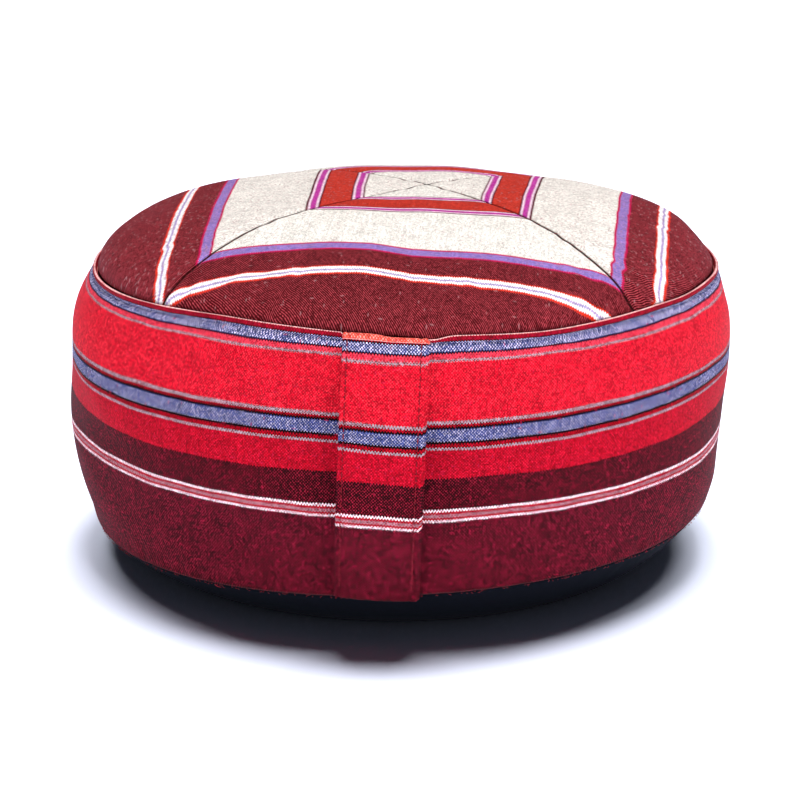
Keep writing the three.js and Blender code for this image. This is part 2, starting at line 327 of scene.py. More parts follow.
def even_crown(x, y):
    """The crown's height without its grooves, puckers and creases."""
    share, bearing = crown_place(x, y)
    dome = np.maximum(0, 1 - share ** CROWN_FLATNESS) ** CROWN_ROUNDNESS
    even = RIM_HEIGHT + np.minimum(1, share ** 2) * crown_wave(bearing)
    sag = share ** RIM_BEND * (RIM_HEIGHT + crown_wave(bearing) - rim_height(bearing))
    pull = share ** PULL_BEND * strap_pull(bearing)
    swells = soft_spots(x, y, CROWN_SWELLS) * smooth((1 - share) / SHOULDER)
    return even + CROWN_RISE * dome + swells - sag - pull


def seam_distance(x, y):
    """Distance of a plan point to the nearest of the four mitre seams."""
    away_x, away_y = x - MITRE[0], y - MITRE[1]
    nearest = np.hypot(away_x, away_y)
    for bearing in MITRE_BEARINGS:
        along, beside = along_and_beside(away_x, away_y, bearing)
        nearest = np.where(along > 0, np.minimum(nearest, np.abs(beside)), nearest)
    return nearest


# The filling


class Swell:
    """How far the filling pushes the cover out, on a grid of rows and evenly spaced bearings."""

    def __init__(self, grid):
        self.grid = grid

    def at(self, row_share, bearing):
        """The smooth value at a share of the rows and a bearing."""
        rows, columns = self.grid.shape
        row = np.clip(row_share, 0, 1) * (rows - 1)
        column = (bearing % FULL_TURN) / FULL_TURN * columns
        first_row, first_column = np.floor(row).astype(int), np.floor(column).astype(int)
        total = 0.0
        for i, row_weight in enumerate(cubic_weights(row - first_row), -1):
            rows_used = np.clip(first_row + i, 0, rows - 1)
            for j, column_weight in enumerate(cubic_weights(column - first_column), -1):
                columns_used = (first_column + j) % columns
                total = total + row_weight * column_weight * self.grid[rows_used, columns_used]
        return total


def cubic_weights(t):
    """Weights of the four values round a place, for a curve that passes through them all."""
    return (-t ** 3 + 2 * t ** 2 - t) / 2, (3 * t ** 3 - 5 * t ** 2 + 2) / 2, \
        (-3 * t ** 3 + 4 * t ** 2 + t) / 2, (t ** 3 - t ** 2) / 2


def blurred(grid, row_steps, column_steps):
    """A grid smoothed over some rows, and over some columns all the way round."""
    for axis, steps in ((0, row_steps), (1, column_steps)):
        for _ in range(steps):
            mode = "edge" if axis == 0 else "wrap"
            margin = [(1, 1) if axis == side else (0, 0) for side in (0, 1)]
            padded = np.pad(grid, margin, mode=mode)
            before, after = np.roll(padded, 1, axis), np.roll(padded, -1, axis)
            inner = [slice(1, -1) if axis == side else slice(None) for side in (0, 1)]
            grid = ((before + 2 * padded + after) / 4)[tuple(inner)]
    return grid


# The form that is blown out: its steps round, how much smaller than the cover it is, its lumps,
# and the size of its faces once they are made even
FORM_STEPS = 96
FORM_SHRINK = 3.0
FORM_LUMP = 1.6
FORM_VOXEL = 6.0

# Its rows: shares of the crown's radius, of the wall from seam to seam, and of the base
FORM_CROWN_ROWS = np.linspace(0.1, 0.97, 14)
FORM_WALL_ROWS = np.linspace(0.02, 0.98, 22)
FORM_BASE_ROWS = np.linspace(0.1, 1, 6)

# The lumps are waves: so many, each with some turns round the cushion and a length up the wall,
# and the most that they add up to. Over the crown they go on as if the wall went on upward.
LUMP_WAVES, LUMP_PEAK = 10, 4
LUMP_TURNS, LUMP_LENGTHS = (3, 11), (55, 110)
CROWN_LUMP_START, CROWN_LUMP_SPAN = 170, 60

# The simulation holds the seams this far to either side, and runs for so many frames
HELD_BAND = 5.0
PRESSURE = 4.0
PRESSURE_FRAMES = 20

# The grid on which the swell is kept, its smoothing, and how fast it fades towards the seams. The
# crown is looked at from above, up to a share of its radius.
SWELL_ROWS, SWELL_STEPS = 32, 120
SWELL_BLUR = 2
WALL_SWELL_FADE, CROWN_SWELL_FADE = 6, 4
CROWN_SWELL_REACH, ABOVE_CROWN = 0.97, 300


def lumps(bearing, height):
    """Seeded unevenness of the loose filling, from about plus to minus one."""
    rng = random.Random(SEED)
    total = 0.0
    for _ in range(LUMP_WAVES):
        turns = rng.randint(*LUMP_TURNS)
        length = rng.uniform(*LUMP_LENGTHS)
        phase = rng.uniform(0, FULL_TURN)
        total = total + np.sin(turns * bearing + FULL_TURN * height / length + phase)
    return total / LUMP_PEAK


def filling_form():
    """Rows of the closed form that the filling blows out, a little smaller than the cover."""
    ring = full_ring(FORM_STEPS)
    rows = []
    for share in FORM_CROWN_ROWS:
        points = around(ring, CROWN_RADIUS * share, 0.0, RIM_SHIFT)
        lump = FORM_LUMP * lumps(ring, CROWN_LUMP_START + CROWN_LUMP_SPAN * (1 - share))
        points[:, 2] = even_crown(points[:, 0], points[:, 1]) - FORM_SHRINK + lump
        rows.append(points)
    for share in FORM_WALL_ROWS:
        height = rim_height(ring) + (seam_height(ring) - rim_height(ring)) * share
        radius = wall_radius(height) - FORM_SHRINK + FORM_LUMP * lumps(ring, height)
        rows.append(around(ring, radius, height, wall_shift(height)))
    for share in FORM_BASE_ROWS:
        radius, height = base_profile(ring, np.full(FORM_STEPS, share), FORM_SHRINK)
        rows.append(around(ring, radius, height))
    return np.array(rows)


def make_faces_even(form):
    """Remesh the form with faces of one size, so that its cloth gives alike everywhere."""
    remesh = form.modifiers.new("even_faces", "REMESH")
    remesh.mode = "VOXEL"
    remesh.voxel_size = FORM_VOXEL * MM
    form.data = bpy.data.meshes.new_from_object(form.evaluated_get(current()))
    form.modifiers.clear()


def seam_group(form, points):
    """The form's points at both seams, which the simulation holds, as a vertex group."""
    bearing = np.arctan2(points[:, 0], -points[:, 1])
    reach = np.hypot(points[:, 0], points[:, 1])
    near_rim = np.abs(points[:, 2] - rim_height(bearing)) < HELD_BAND
    near_foot = np.abs(points[:, 2] - seam_height(bearing)) < HELD_BAND
    held = (near_rim | near_foot) & (reach > RIM_RADIUS - FORM_SHRINK - 2 * HELD_BAND)
    seams = form.vertex_groups.new(name="seams")
    seams.add(np.flatnonzero(held).tolist(), 1.0, "REPLACE")
    return seams


def blow_out(form, seams):
    """The form's mesh after the pressure has blown its cloth out for some frames."""
    cloth = form.modifiers.new("cover", "CLOTH")
    cloth.settings.quality = 5
    cloth.settings.vertex_group_mass = seams.name
    cloth.settings.use_pressure = True
    cloth.settings.uniform_pressure_force = PRESSURE
    cloth.settings.effector_weights.gravity = 0
    cloth.point_cache.frame_start = 1
    cloth.point_cache.frame_end = PRESSURE_FRAMES
    for step in range(1, PRESSURE_FRAMES + 1):
        bpy.context.scene.frame_set(step)
    blown = bpy.data.meshes.new_from_object(form.evaluated_get(current()))
    form.modifiers.clear()
    return blown


def blown_tree(cap):
    """A tree of the form's faces after Blender's cloth has been blown out by the pressure, with
    its seams held and no point moved further than cap."""
    rows = filling_form()
    points, faces = closed_rows(rows, [MITRE[0], MITRE[1], rows[0, :, 2].max()],
                                [0, 0, rows[-1, :, 2].min()])
    form = mesh_object("filling_form", points, faces)
    make_faces_even(form)
    start = mesh_points(form.data)
    blown = blow_out(form, seam_group(form, start))
    moved = mesh_points(blown) - start
    length = np.maximum(np.linalg.norm(moved, axis=1, keepdims=True), 1e-9)
    capped = start + moved * np.minimum(1, cap / length)
    blown.vertices.foreach_set("co", (capped * MM).ravel())
    form.data = blown
    form.modifiers.new("rounder", "SUBSURF").levels = 1
    tree = BVHTree.FromObject(form, current())
    bpy.context.scene.frame_set(1)
    bpy.data.objects.remove(form)
    return tree


@functools.lru_cache(maxsize=1)
def filling_swell(cap, most):
    """The swell of the wall and of the crown. Both keep the cover's measured profile: only what
    differs from one bearing to another is left, and never more than most."""
    shares = np.linspace(0, 1, SWELL_ROWS)
    wall, crown = np.zeros((2, SWELL_ROWS, SWELL_STEPS))
    tree = blown_tree(cap)
    for i, share in enumerate(shares):
        for j, bearing in enumerate(full_ring(SWELL_STEPS)):
            top, foot = float(rim_height(bearing)), float(seam_height(bearing))
            height = top + (foot - top) * share
            start = Vector((float(wall_shift(height)), 0, height)) * MM
            hit, *_, away = tree.ray_cast(start, Vector((*ray(bearing), 0)))
            wall[i, j] = away / MM - wall_radius(height) if hit else 0
            x, y, _ = around(bearing, CROWN_RADIUS * share * CROWN_SWELL_REACH, 0.0, RIM_SHIFT)
            hit, *_ = tree.ray_cast(Vector((x, y, ABOVE_CROWN)) * MM, Vector((0, 0, -1)))
            crown[i, j] = hit.z / MM - even_crown(x, y) if hit else 0
    from_edge = 1 - shares
    held_wall = smooth(WALL_SWELL_FADE * shares) * smooth(WALL_SWELL_FADE * from_edge)
    held_crown = smooth(CROWN_SWELL_FADE * from_edge)
    fields = []
    for grid, held in ((wall, held_wall), (crown, held_crown)):
        uneven = blurred(grid - grid.mean(1, keepdims=True), SWELL_BLUR, SWELL_BLUR)
        fields.append(Swell(most * np.tanh(uneven / most) * held[:, None]))
    return tuple(fields)


# Puckers and creases


# Puckers are three waves along the seam, deeper in some places than in others. Lengths in
# millimetres, and how much a seed changes them.
PUCKER_LENGTHS, PUCKER_SPREAD = (9.5, 13.0, 21.0), (0.9, 1.1)
PUCKER_GROUP, GROUP_SPREAD = 95, (0.8, 1.2)
GROUP_MEAN, GROUP_CHANGE = 0.6, 0.4

# Puckers along each seam: how far they reach from it, their share of the set depth, their seed
MITRE_PUCKERS = (9.0, 1.0, 1)
CROWN_EDGE_PUCKERS = (11.0, 1.3, 2)
WALL_TOP_PUCKERS = (12.0, 0.8, 3)
WALL_FOOT_PUCKERS = (13.0, 1.0, 4)
BASE_PUCKERS = (16.0, 1.0, 9)

# The wall is even behind the strap, over this many times the half of what the strap covers
EVEN_BEHIND_STRAP = 1.2


def gathers(place, distance, depth, puckers):
    """Small uneven puckers along a seam, which fade out away from it."""
    reach, share, seed = puckers
    rng = random.Random(SEED + seed)
    wave = 0.0
    for length in PUCKER_LENGTHS:
        wave = wave + np.sin(FULL_TURN * place / (length * rng.uniform(*PUCKER_SPREAD))
                             + rng.uniform(0, FULL_TURN))
    group = FULL_TURN * place / (PUCKER_GROUP * rng.uniform(*GROUP_SPREAD))
    swell = GROUP_MEAN + GROUP_CHANGE * np.sin(group)
    return share * depth * swell * wave / len(PUCKER_LENGTHS) * bump(distance, reach)


# Creases of the crown: x, y, bearing in degrees of the crease, its length, width and depth
CROWN_CREASES = [
    (-52.0, -130.0, 123, 13.0, 1.6, 0.5),
    (-96.0, -104.0, 138, 26.0, 5.0, 0.9),
    (-78.0, -114.0, 118, 22.0, 4.5, -0.6),
    (-60.0, -108.0, 100, 24.0, 5.0, 0.55),
    (-137.0, -50.0, 60, 24.0, 4.0, 0.7),
    (-120.0, -72.0, 50, 30.0, 6.0, -0.5),
    (38.0, -128.0, 78, 34.0, 7.0, 0.4),
    (104.0, -84.0, 40, 26.0, 5.0, 0.5),
    (126.0, -40.0, 10, 30.0, 6.0, 0.4),
    (-20.0, -136.0, 95, 40.0, 8.0, 0.4),
]


def crown_creases(x, y):
    """How deep the creases lie."""
    depth = 0.0
    for middle_x, middle_y, degrees, length, width, most in CROWN_CREASES:
        along, beside = along_and_beside(x - middle_x, y - middle_y, math.radians(degrees))
        depth = depth + most * bump(along, length / 2) * bump(beside, width / 2)
    return depth


def crown_relief(x, y, sizes):
    """How far the crown's cloth sinks below its even form."""
    share, bearing = crown_place(x, y)
    seam = seam_distance(x, y)
    out = np.hypot(x - MITRE[0], y - MITRE[1])
    inward = np.maximum(0, (1 - share) * CROWN_RADIUS)
    groove = GROOVE_DEPTH * bump(seam, GROOVE_HALF) + SINK_DEPTH * bump(seam, SINK_HALF)
    puckers = (gathers(out, seam, sizes.pucker, MITRE_PUCKERS)
               + gathers(bearing * CROWN_RADIUS, inward, sizes.pucker, CROWN_EDGE_PUCKERS))
    swell = filling_swell(sizes.swell_cap, sizes.swell_most)[1].at(share, bearing)
    folds = puckers + crown_creases(x, y)
    return groove * smooth(inward / GROOVE_FADE) + folds * smooth(inward / PUCKER_FADE) - swell


def crown_point(x, y, depth, sizes):
    """A point of the crown, depth below the cloth's outer face along its normal. The normal comes
    from heights a small step to either side, all of them inside the crown's edge."""
    step = 0.4
    reach = np.maximum(np.hypot(x - RIM_SHIFT, y), step)
    inside = np.minimum(1, (CROWN_RADIUS - 4 * step) / reach)
    near_x, near_y = RIM_SHIFT + (x - RIM_SHIFT) * inside, y * inside

    def height(plan_x, plan_y):
        """The cloth's height at a plan point."""
        return even_crown(plan_x, plan_y) - crown_relief(plan_x, plan_y, sizes)

    rise_x = height(near_x + step, near_y) - height(near_x - step, near_y)
    rise_y = height(near_x, near_y + step) - height(near_x, near_y - step)
    normal = np.stack([-rise_x, -rise_y, np.full_like(rise_x, 2 * step)], -1)
    normal /= np.linalg.norm(normal, axis=-1, keepdims=True)
    return np.stack([x, y, height(x, y)], -1) - depth * normal


def wall_relief(bearing, height, sizes):
    """How far the side band stands out of its even form."""
    top, foot = rim_height(bearing), seam_height(bearing)
    share = (top - height) / (top - foot)
    place = bearing * BELLY_RADIUS
    puckers = (gathers(place, top - height, sizes.pucker, WALL_TOP_PUCKERS)
               + gathers(place, height - foot, sizes.pucker, WALL_FOOT_PUCKERS))
    even = bump(turned(bearing, STRAP_BEARING), EVEN_BEHIND_STRAP * STRAP_HALF_TURN)
    swell = filling_swell(sizes.swell_cap, sizes.swell_most)[0].at(share, bearing)
    return (swell + puckers) * (1 - even)


def base_profile(bearing, share, depth):
    """Radius and height of the base from its seam (0) over the turn to the flat disc (1), depth
    inside its outer face."""
    top = seam_height(bearing) - GAP
    start = np.stack(np.broadcast_arrays(wall_radius(top) - SEAM_TUCK, top), -1)
    turn, flat = np.array([TURN_RADIUS, 0.0]), np.array([FLAT_RADIUS, 0.0])
    share = share[..., None]
    point = start * (1 - share) ** 2 + turn * 2 * share * (1 - share) + flat * share ** 2
    along = (turn - start) * (1 - share) + (flat - turn) * share
    along /= np.linalg.norm(along, axis=-1, keepdims=True)
    return point[..., 0] + depth * along[..., 1], point[..., 1] - depth * along[..., 0]


# Meshes


def current():
    """What Blender has worked out for the scene as it stands."""
    return bpy.context.evaluated_depsgraph_get()


def grid_faces(rows, columns, wrap=False):
    """Quads between the neighbouring rows of a grid of points."""
    step = np.arange(columns if wrap else columns - 1)
    row = np.arange(rows - 1)[:, None] * columns
    after = (step + 1) % columns
    corners = [row + step, row + columns + step, row + columns + after, row + after]
    return np.stack(corners, -1).reshape(-1, 4).tolist()


def closed_rows(rows, first_middle, last_middle):
    """Points and faces of a closed form: rings of points, closed by a fan at either end."""
    count, steps = rows.shape[:2]
    points = np.concatenate([rows.reshape(-1, 3), [first_middle, last_middle]])
    faces = grid_faces(count, steps, wrap=True)
    last = (count - 1) * steps
    for step in range(steps):
        after = (step + 1) % steps
        faces.append([count * steps, step, after])
        faces.append([count * steps + 1, last + after, last + step])
    return points, faces


def signed_volume(points, faces):
    """Six times the volume inside the faces, which is below zero where they are turned in."""
    corners = np.array([face[:3] for face in faces])
    a, b, c = (points[corners[:, i]] for i in range(3))
    quads = np.array([face for face in faces if len(face) == 4])
    volume = np.einsum("ij,ij->", a, np.cross(b, c))
    if len(quads):
        d, e, f = (points[quads[:, i]] for i in (0, 2, 3))
        volume += np.einsum("ij,ij->", d, np.cross(e, f))
    return volume


def mesh_object(name, points, faces):
    """An object with a smooth closed mesh from points in millimetres, its faces turned out."""
    points = np.asarray(points, float)
    if signed_volume(points, faces) < 0:
        faces = [face[::-1] for face in faces]
    mesh = bpy.data.meshes.new(name)
    mesh.from_pydata((points * MM).tolist(), [], faces)
    mesh.update()
    mesh.shade_smooth()
    made = bpy.data.objects.new(name, mesh)
    bpy.context.scene.collection.objects.link(made)
    return made


def mesh_points(mesh):
    """A mesh's points in millimetres."""
    flat = np.zeros(3 * len(mesh.vertices))
    mesh.vertices.foreach_get("co", flat)
    return flat.reshape(-1, 3) / MM


def make_piece(name, points, faces, material, cloth=None, slot=None, nodes=()):
    """A piece that rides on the one body. cloth holds each point's place on its flat cloth, in
    millimetres along the stripes, across them, and from the nearest seam."""
    piece = mesh_object(name, points, faces)
    if cloth is not None:
        placed = piece.data.attributes.new("cloth", "FLOAT_VECTOR", "POINT")
        placed.data.foreach_set("vector", np.asarray(cloth, np.float32).ravel())
    piece.data.materials.append(material)
    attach(piece, "root")
    if nodes:
        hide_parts(*nodes)
    return piece


def tube(path, radius, sides=6):
    """A closed thread along a path, its radius given for each point of the path."""
    path, radius = np.asarray(path, float), np.asarray(radius, float)
    along = np.gradient(path, axis=0)
    along /= np.linalg.norm(along, axis=1, keepdims=True)
    steep = np.abs(along[:, 2:]) >= 0.8
    first = np.cross(along, np.where(steep, [[1.0, 0, 0]], [UP]))
    first /= np.linalg.norm(first, axis=1, keepdims=True)
    second = np.cross(along, first)
    turn = full_ring(sides)
    ring = (first[:, None] * np.cos(turn)[None, :, None]
            + second[:, None] * np.sin(turn)[None, :, None])
    rows = path[:, None] + ring * radius[:, None, None]
    return closed_rows(rows, path[0], path[-1])


def joined(parts):
    """One set of points and faces from several."""
    points, faces, count = [], [], 0
    for part_points, part_faces in parts:
        points.append(part_points)
        faces += [[corner + count for corner in face] for face in part_faces]
        count += len(part_points)
    return np.concatenate(points), faces


# Materials


def add_node(tree, kind, inputs, **settings):
    """Add a node with its settings and give back its first open output, if it has one. Its inputs
    are values or other nodes' outputs, in the order of its open sockets or under their names."""
    node = tree.nodes.new(kind)
    for key, value in settings.items():
        setattr(node, key, value)
    if not isinstance(inputs, dict):
        sockets = [place for place, socket in enumerate(node.inputs) if socket.enabled]
        inputs = dict(zip(sockets, inputs))
    for key, value in inputs.items():
        if isinstance(value, bpy.types.NodeSocket):
            tree.links.new(value, node.inputs[key])
        else:
            node.inputs[key].default_value = value
    return next((output for output in node.outputs if output.enabled), None)


def new_material(name):
    """A material without nodes, and its node tree."""
    material = bpy.data.materials.new(name)
    material.use_nodes = True
    material.node_tree.nodes.clear()
    return material, material.node_tree


def opaque(colour):
    """A colour with full opacity, as sockets hold it."""
    return (*colour, 1.0)


def stripes(tree, across, bands, column):
    """Sharp bands of colour. bands holds rows of an end in millimetres and the band's colours. The
    first and last rows stand close to the stripes, as the render keeps 256 steps between them."""
    first, last = bands[0][0], bands[-1][0]
    share = add_node(tree, "ShaderNodeMapRange", [across, first, last, 0.0, 1.0])
    colour = add_node(tree, "ShaderNodeValToRGB", [share])
    ramp = colour.node.color_ramp
    ramp.interpolation = "CONSTANT"
    for _ in range(len(bands) - 3):
        ramp.elements.new(1.0)
    for element, (start, *_), (_, *colours) in zip(ramp.elements, bands, bands[1:]):
        element.position = (start - first) / (last - first)
        element.color = opaque(colours[column])
    return colour


# Cotton's IOR. Loose fibre scatters most of its gloss away and leaves it rough.
COTTON_IOR = 1.53
COTTON_GLOSS = 0.06
COTTON_ROUGHNESS = (0.75, 0.9)

# The real weaves have a thread about every 0.3 mm, too fine to show, so they are drawn coarser:
# millimetres along and across the stripes, and how much of the weave is twill. The side band is
# woven plain, and the top panels in a steep twill.
BAND_WEAVE = (1.4, 1.5, 0.0)
TOP_WEAVE = (1.22, 1.3, -0.9)

# One float of thread, which has a shade of its own, and how far the weft's teeth reach over the
# edges of the stripes
THREAD_CELL = (0.7, 0.75, 1.0)
TOOTH_DEPTH = 0.34

# Slow unevenness, as the size of its patches: of the weave's pitch, which drifts by so many
# radians, of the stripes' edges, which wander by so many millimetres, of how much the weft shows,
# and of the dye
PITCH_PATCH, PITCH_DRIFT = 12.0, 4.0
EDGE_PATCH, EDGE_WANDER = 26.0, 1.4
WEFT_PATCH = 7.0
DYE_PATCH = 11.0

# What makes the weft show, as shares: its patches, each float's own shade and the weave's ridges.
# Between these two sums it goes from hidden to full.
PATCH_SHARE, FLOAT_SHARE, RIDGE_SHARE = 0.3, 0.9, 0.8
WEFT_HIDDEN, WEFT_FULL = 0.69, 1.19

# Streaks of dye for each millimetre along and across the stripes, and the dye's levels
STREAKS = (0.7, 0.04, 1.0)
DYE_RANGE, DYE_LEVELS = (0.6, 1.4), (0.84, 1.16)

# Slubs: length along and across the stripes of those that lie along the warp and along the weft,
# how much of that is the slub's core and its edge, and how strongly they show
SLUBS = ((5.0, 1.6), (1.6, 4.0))
SLUB_CORE, SLUB_EDGE, SLUB_STRENGTH = 0.12, 0.3, 0.55

# The shadow in a seam between two panels, its core and edge in millimetres from the seam
SEAM_SHADE = "#260504"
SEAM_CORE, SEAM_EDGE, SEAM_STRENGTH = 0.5, 1.15, 0.94

# Each top panel's cloth lies this far along from the one before, so that no two look alike
PANEL_SPACING = 400.0


def woven_cotton(name, bands, weave, slub_colour, front, elsewhere, speckle, sheen):
    """Handwoven cotton: warp threads in coloured stripes, crossed by a weft that speckles every
    stripe and gives it a finely toothed edge. Uneven, matt thread with slubs, and a bloom of
    loose fibre at grazing angles. front and elsewhere each hold the share of slubs, and how much
    more the weft shows: the front panel, the first along the cloth, is its evenest part. The weft
    that shows more beyond the front is partly painted sheen, which makes those panels paler."""
    material, tree = new_material(name)
    place = add_node(tree, "ShaderNodeAttribute", [], attribute_name="cloth").node.outputs["Vector"]
    along, across, seam = add_node(tree, "ShaderNodeSeparateXYZ", [place]).node.outputs
    flat = add_node(tree, "ShaderNodeCombineXYZ", [along, across])

    # Weave: the floats of a plain weave, or the slanting ridges of a twill, a little unsteady
    along_spacing, across_spacing, twill = weave
    unsteady = add_node(tree, "ShaderNodeTexNoise", [flat, 1 / PITCH_PATCH, 1.0, 0.5])
    unsteady = add_node(tree, "ShaderNodeMath", [unsteady, PITCH_DRIFT], operation="MULTIPLY")
    turns = (FULL_TURN / along_spacing, FULL_TURN / across_spacing, 0.0)
    turns = add_node(tree, "ShaderNodeVectorMath", [flat, turns], operation="MULTIPLY")
    turns = add_node(tree, "ShaderNodeVectorMath", [turns, unsteady], operation="ADD")
    waves = add_node(tree, "ShaderNodeVectorMath", [turns], operation="SINE")
    tooth, pick_wave, _ = add_node(tree, "ShaderNodeSeparateXYZ", [waves]).node.outputs
    waves = add_node(tree, "ShaderNodeVectorMath", [turns], operation="COSINE")
    warp_wave, weft_wave, _ = add_node(tree, "ShaderNodeSeparateXYZ", [waves]).node.outputs
    slant = add_node(tree, "ShaderNodeMath", [warp_wave, pick_wave], operation="MULTIPLY")
    slant = add_node(tree, "ShaderNodeMath", [slant, twill], operation="MULTIPLY")
    ridge = add_node(tree, "ShaderNodeMath", [tooth, weft_wave, slant], operation="MULTIPLY_ADD")

    # Stripes, toothed where the weft crosses their edges, with a slow wander
    wander = add_node(tree, "ShaderNodeTexNoise", [flat, 1 / EDGE_PATCH, 1.0, 0.5])
    edge = add_node(tree, "ShaderNodeMath", [wander, EDGE_WANDER, across],
                    operation="MULTIPLY_ADD")
    edge = add_node(tree, "ShaderNodeMath", [tooth, TOOTH_DEPTH, edge], operation="MULTIPLY_ADD")
    edge = add_node(tree, "ShaderNodeMath", [edge, EDGE_WANDER / 2], operation="SUBTRACT")
    warp, weft = stripes(tree, edge, bands, 0), stripes(tree, edge, bands, 1)

    # The front panel ends half a spacing along, and beyond that lies the other cloth
    front_end = PANEL_SPACING / 2
    slub_share, weft_and_painted_sheen = [
        add_node(tree, "ShaderNodeMapRange", [along, front_end, front_end + 1, first, other])
        for first, other in zip(front, elsewhere)]

    # Each float of thread has its own shade, and the weft shows more in some places
    threads = add_node(tree, "ShaderNodeVectorMath", [flat, THREAD_CELL], operation="SNAP")
    random_shade = add_node(tree, "ShaderNodeTexWhiteNoise", [threads]).node.outputs["Color"]
    pick, shade, _ = add_node(tree, "ShaderNodeSeparateColor", [random_shade]).node.outputs
    show = add_node(tree, "ShaderNodeTexNoise", [flat, 1 / WEFT_PATCH, 2.0, 0.6])
    show = add_node(tree, "ShaderNodeMath", [show, PATCH_SHARE, weft_and_painted_sheen],
                    operation="MULTIPLY_ADD")
    show = add_node(tree, "ShaderNodeMath", [pick, FLOAT_SHARE, show], operation="MULTIPLY_ADD")
    show = add_node(tree, "ShaderNodeMath", [ridge, RIDGE_SHARE, show], operation="MULTIPLY_ADD")
    show = add_node(tree, "ShaderNodeMapRange", [show, WEFT_HIDDEN, WEFT_FULL, 0.0, 1.0])
    base = add_node(tree, "ShaderNodeMix", [show, warp, weft], data_type="RGBA")
    shade = add_node(tree, "ShaderNodeMapRange", [shade, 0.0, 1.0, 1 - speckle, 1 + speckle / 2])

    # Dye: slow unevenness, and faint streaks along the weft
    streak = add_node(tree, "ShaderNodeVectorMath", [flat, STREAKS], operation="MULTIPLY")
    streak = add_node(tree, "ShaderNodeTexNoise", [streak, 1.0, 1.0, 0.5])
    dye = add_node(tree, "ShaderNodeTexNoise", [flat, 1 / DYE_PATCH, 2.0, 0.55])
    dye = add_node(tree, "ShaderNodeMath", [dye, streak], operation="ADD")
    dye = add_node(tree, "ShaderNodeMapRange", [dye, *DYE_RANGE, *DYE_LEVELS])
    dye = add_node(tree, "ShaderNodeMath", [dye, shade], operation="MULTIPLY")
    base = add_node(tree, "ShaderNodeHueSaturation", {"Value": dye, "Color": base})

    # Slubs: short thick bits of thread, lying along the warp or the weft
    for slub_along, slub_across in SLUBS:
        cell = (1 / slub_along, 1 / slub_across, 1.0)
        slub = add_node(tree, "ShaderNodeVectorMath", [flat, cell], operation="MULTIPLY")
        slub = add_node(tree, "ShaderNodeTexVoronoi", {"Vector": slub, "Scale": 1.0})
        chosen = add_node(tree, "ShaderNodeSeparateColor", [slub.node.outputs["Color"]])
        chosen = add_node(tree, "ShaderNodeMath", [chosen, slub_share], operation="LESS_THAN")
        slub = add_node(tree, "ShaderNodeMapRange",
                        [slub, SLUB_CORE, SLUB_EDGE, SLUB_STRENGTH, 0.0])
        slub = add_node(tree, "ShaderNodeMath", [slub, chosen], operation="MULTIPLY")
        base = add_node(tree, "ShaderNodeMix", [slub, base, opaque(linear(slub_colour))],
                        data_type="RGBA")

    # Painted shade: a dark line where two pieces of cloth are sewn together, for the shadow in the
    # seam's groove
    line = add_node(tree, "ShaderNodeMapRange", [seam, SEAM_CORE, SEAM_EDGE, SEAM_STRENGTH, 0.0])
    base = add_node(tree, "ShaderNodeMix", [line, base, opaque(linear(SEAM_SHADE))],
                    data_type="RGBA")

    height = add_node(tree, "ShaderNodeMath", [ridge, 0.5, pick], operation="MULTIPLY_ADD")
    relief = add_node(tree, "ShaderNodeBump", {"Height": height, "Strength": 0.4,
                                               "Distance": 0.1 * MM})
    rough = add_node(tree, "ShaderNodeMapRange", [pick, 0.0, 1.0, *COTTON_ROUGHNESS])
    surface = add_node(tree, "ShaderNodeBsdfPrincipled", {
        "Base Color": base, "Roughness": rough, "IOR": COTTON_IOR,
        "Specular IOR Level": COTTON_GLOSS, "Normal": relief, "Sheen Weight": sheen,
        "Sheen Roughness": 0.4, "Sheen Tint": opaque(linear("#FFC8C8"))})
    add_node(tree, "ShaderNodeOutputMaterial", [surface])
    return material


def band_stripes(colours):
    """Stripes of the side band and the strap: where each ends, in millimetres above the floor
    on the unwaved band, and its warp and weft. The first row is where they start. Those above
    the dark line at 148 are on the turned edge and its allowance: a crimson face, a pale band
    that is a painted highlight along the lip's top, the strap's coral roll, and a last dark band
    that is painted shade on the hidden cloth seen through the seams."""
    red, coral, blue = tuple(colours.red), tuple(colours.coral), tuple(colours.blue)
    maroon, white = tuple(colours.maroon), tuple(colours.white)
    weft_red, low_red, low_weft = linear("#EC3240"), linear("#A80018"), linear("#CC1834")
    dark, lilac, grey = linear("#140105"), linear("#E6DAF8"), linear("#A48E96")
    rose, maroon_weft, grey_weft = linear("#C83C5C"), linear("#A21E38"), linear("#8A0A20")
    return [
        (61.0,),
        (64.0, maroon, maroon_weft),
        (65.2, white, rose),
        (66.3, low_red, low_red),
        (67.9, linear("#A87880"), linear("#8C1430")),
        (69.0, low_red, low_red),
        (70.2, white, rose),
        (85.2, maroon, linear("#92182E")),
        (98.6, low_red, low_weft),
        (100.0, grey, grey_weft),
        (101.8, low_red, dark),
        (102.8, dark, dark),
        (108.7, blue, linear("#B6ACC0")),
        (109.9, dark, dark),
        (111.1, low_red, dark),
        (112.5, grey, grey_weft),
        (138.4, red, weft_red),
        (139.8, grey, grey_weft),
        (141.9, linear("#DC3C50"), red),
        (142.8, dark, dark),
        (146.9, blue, lilac),
        (148.0, dark, dark),
        (150.1, linear("#86041A"), linear("#A81028")),
        # Painted highlight: the pale band in which the lip's two top rows lie
        (152.5, linear("#FFB8B8"), linear("#FFD0D0")),
        (158.0, coral, linear("#F4A498")),
        # Painted shade: past 158 the cloth is dark, for the hidden cloth that shows only through
        # the seams
        (160.0, dark, dark),
    ]


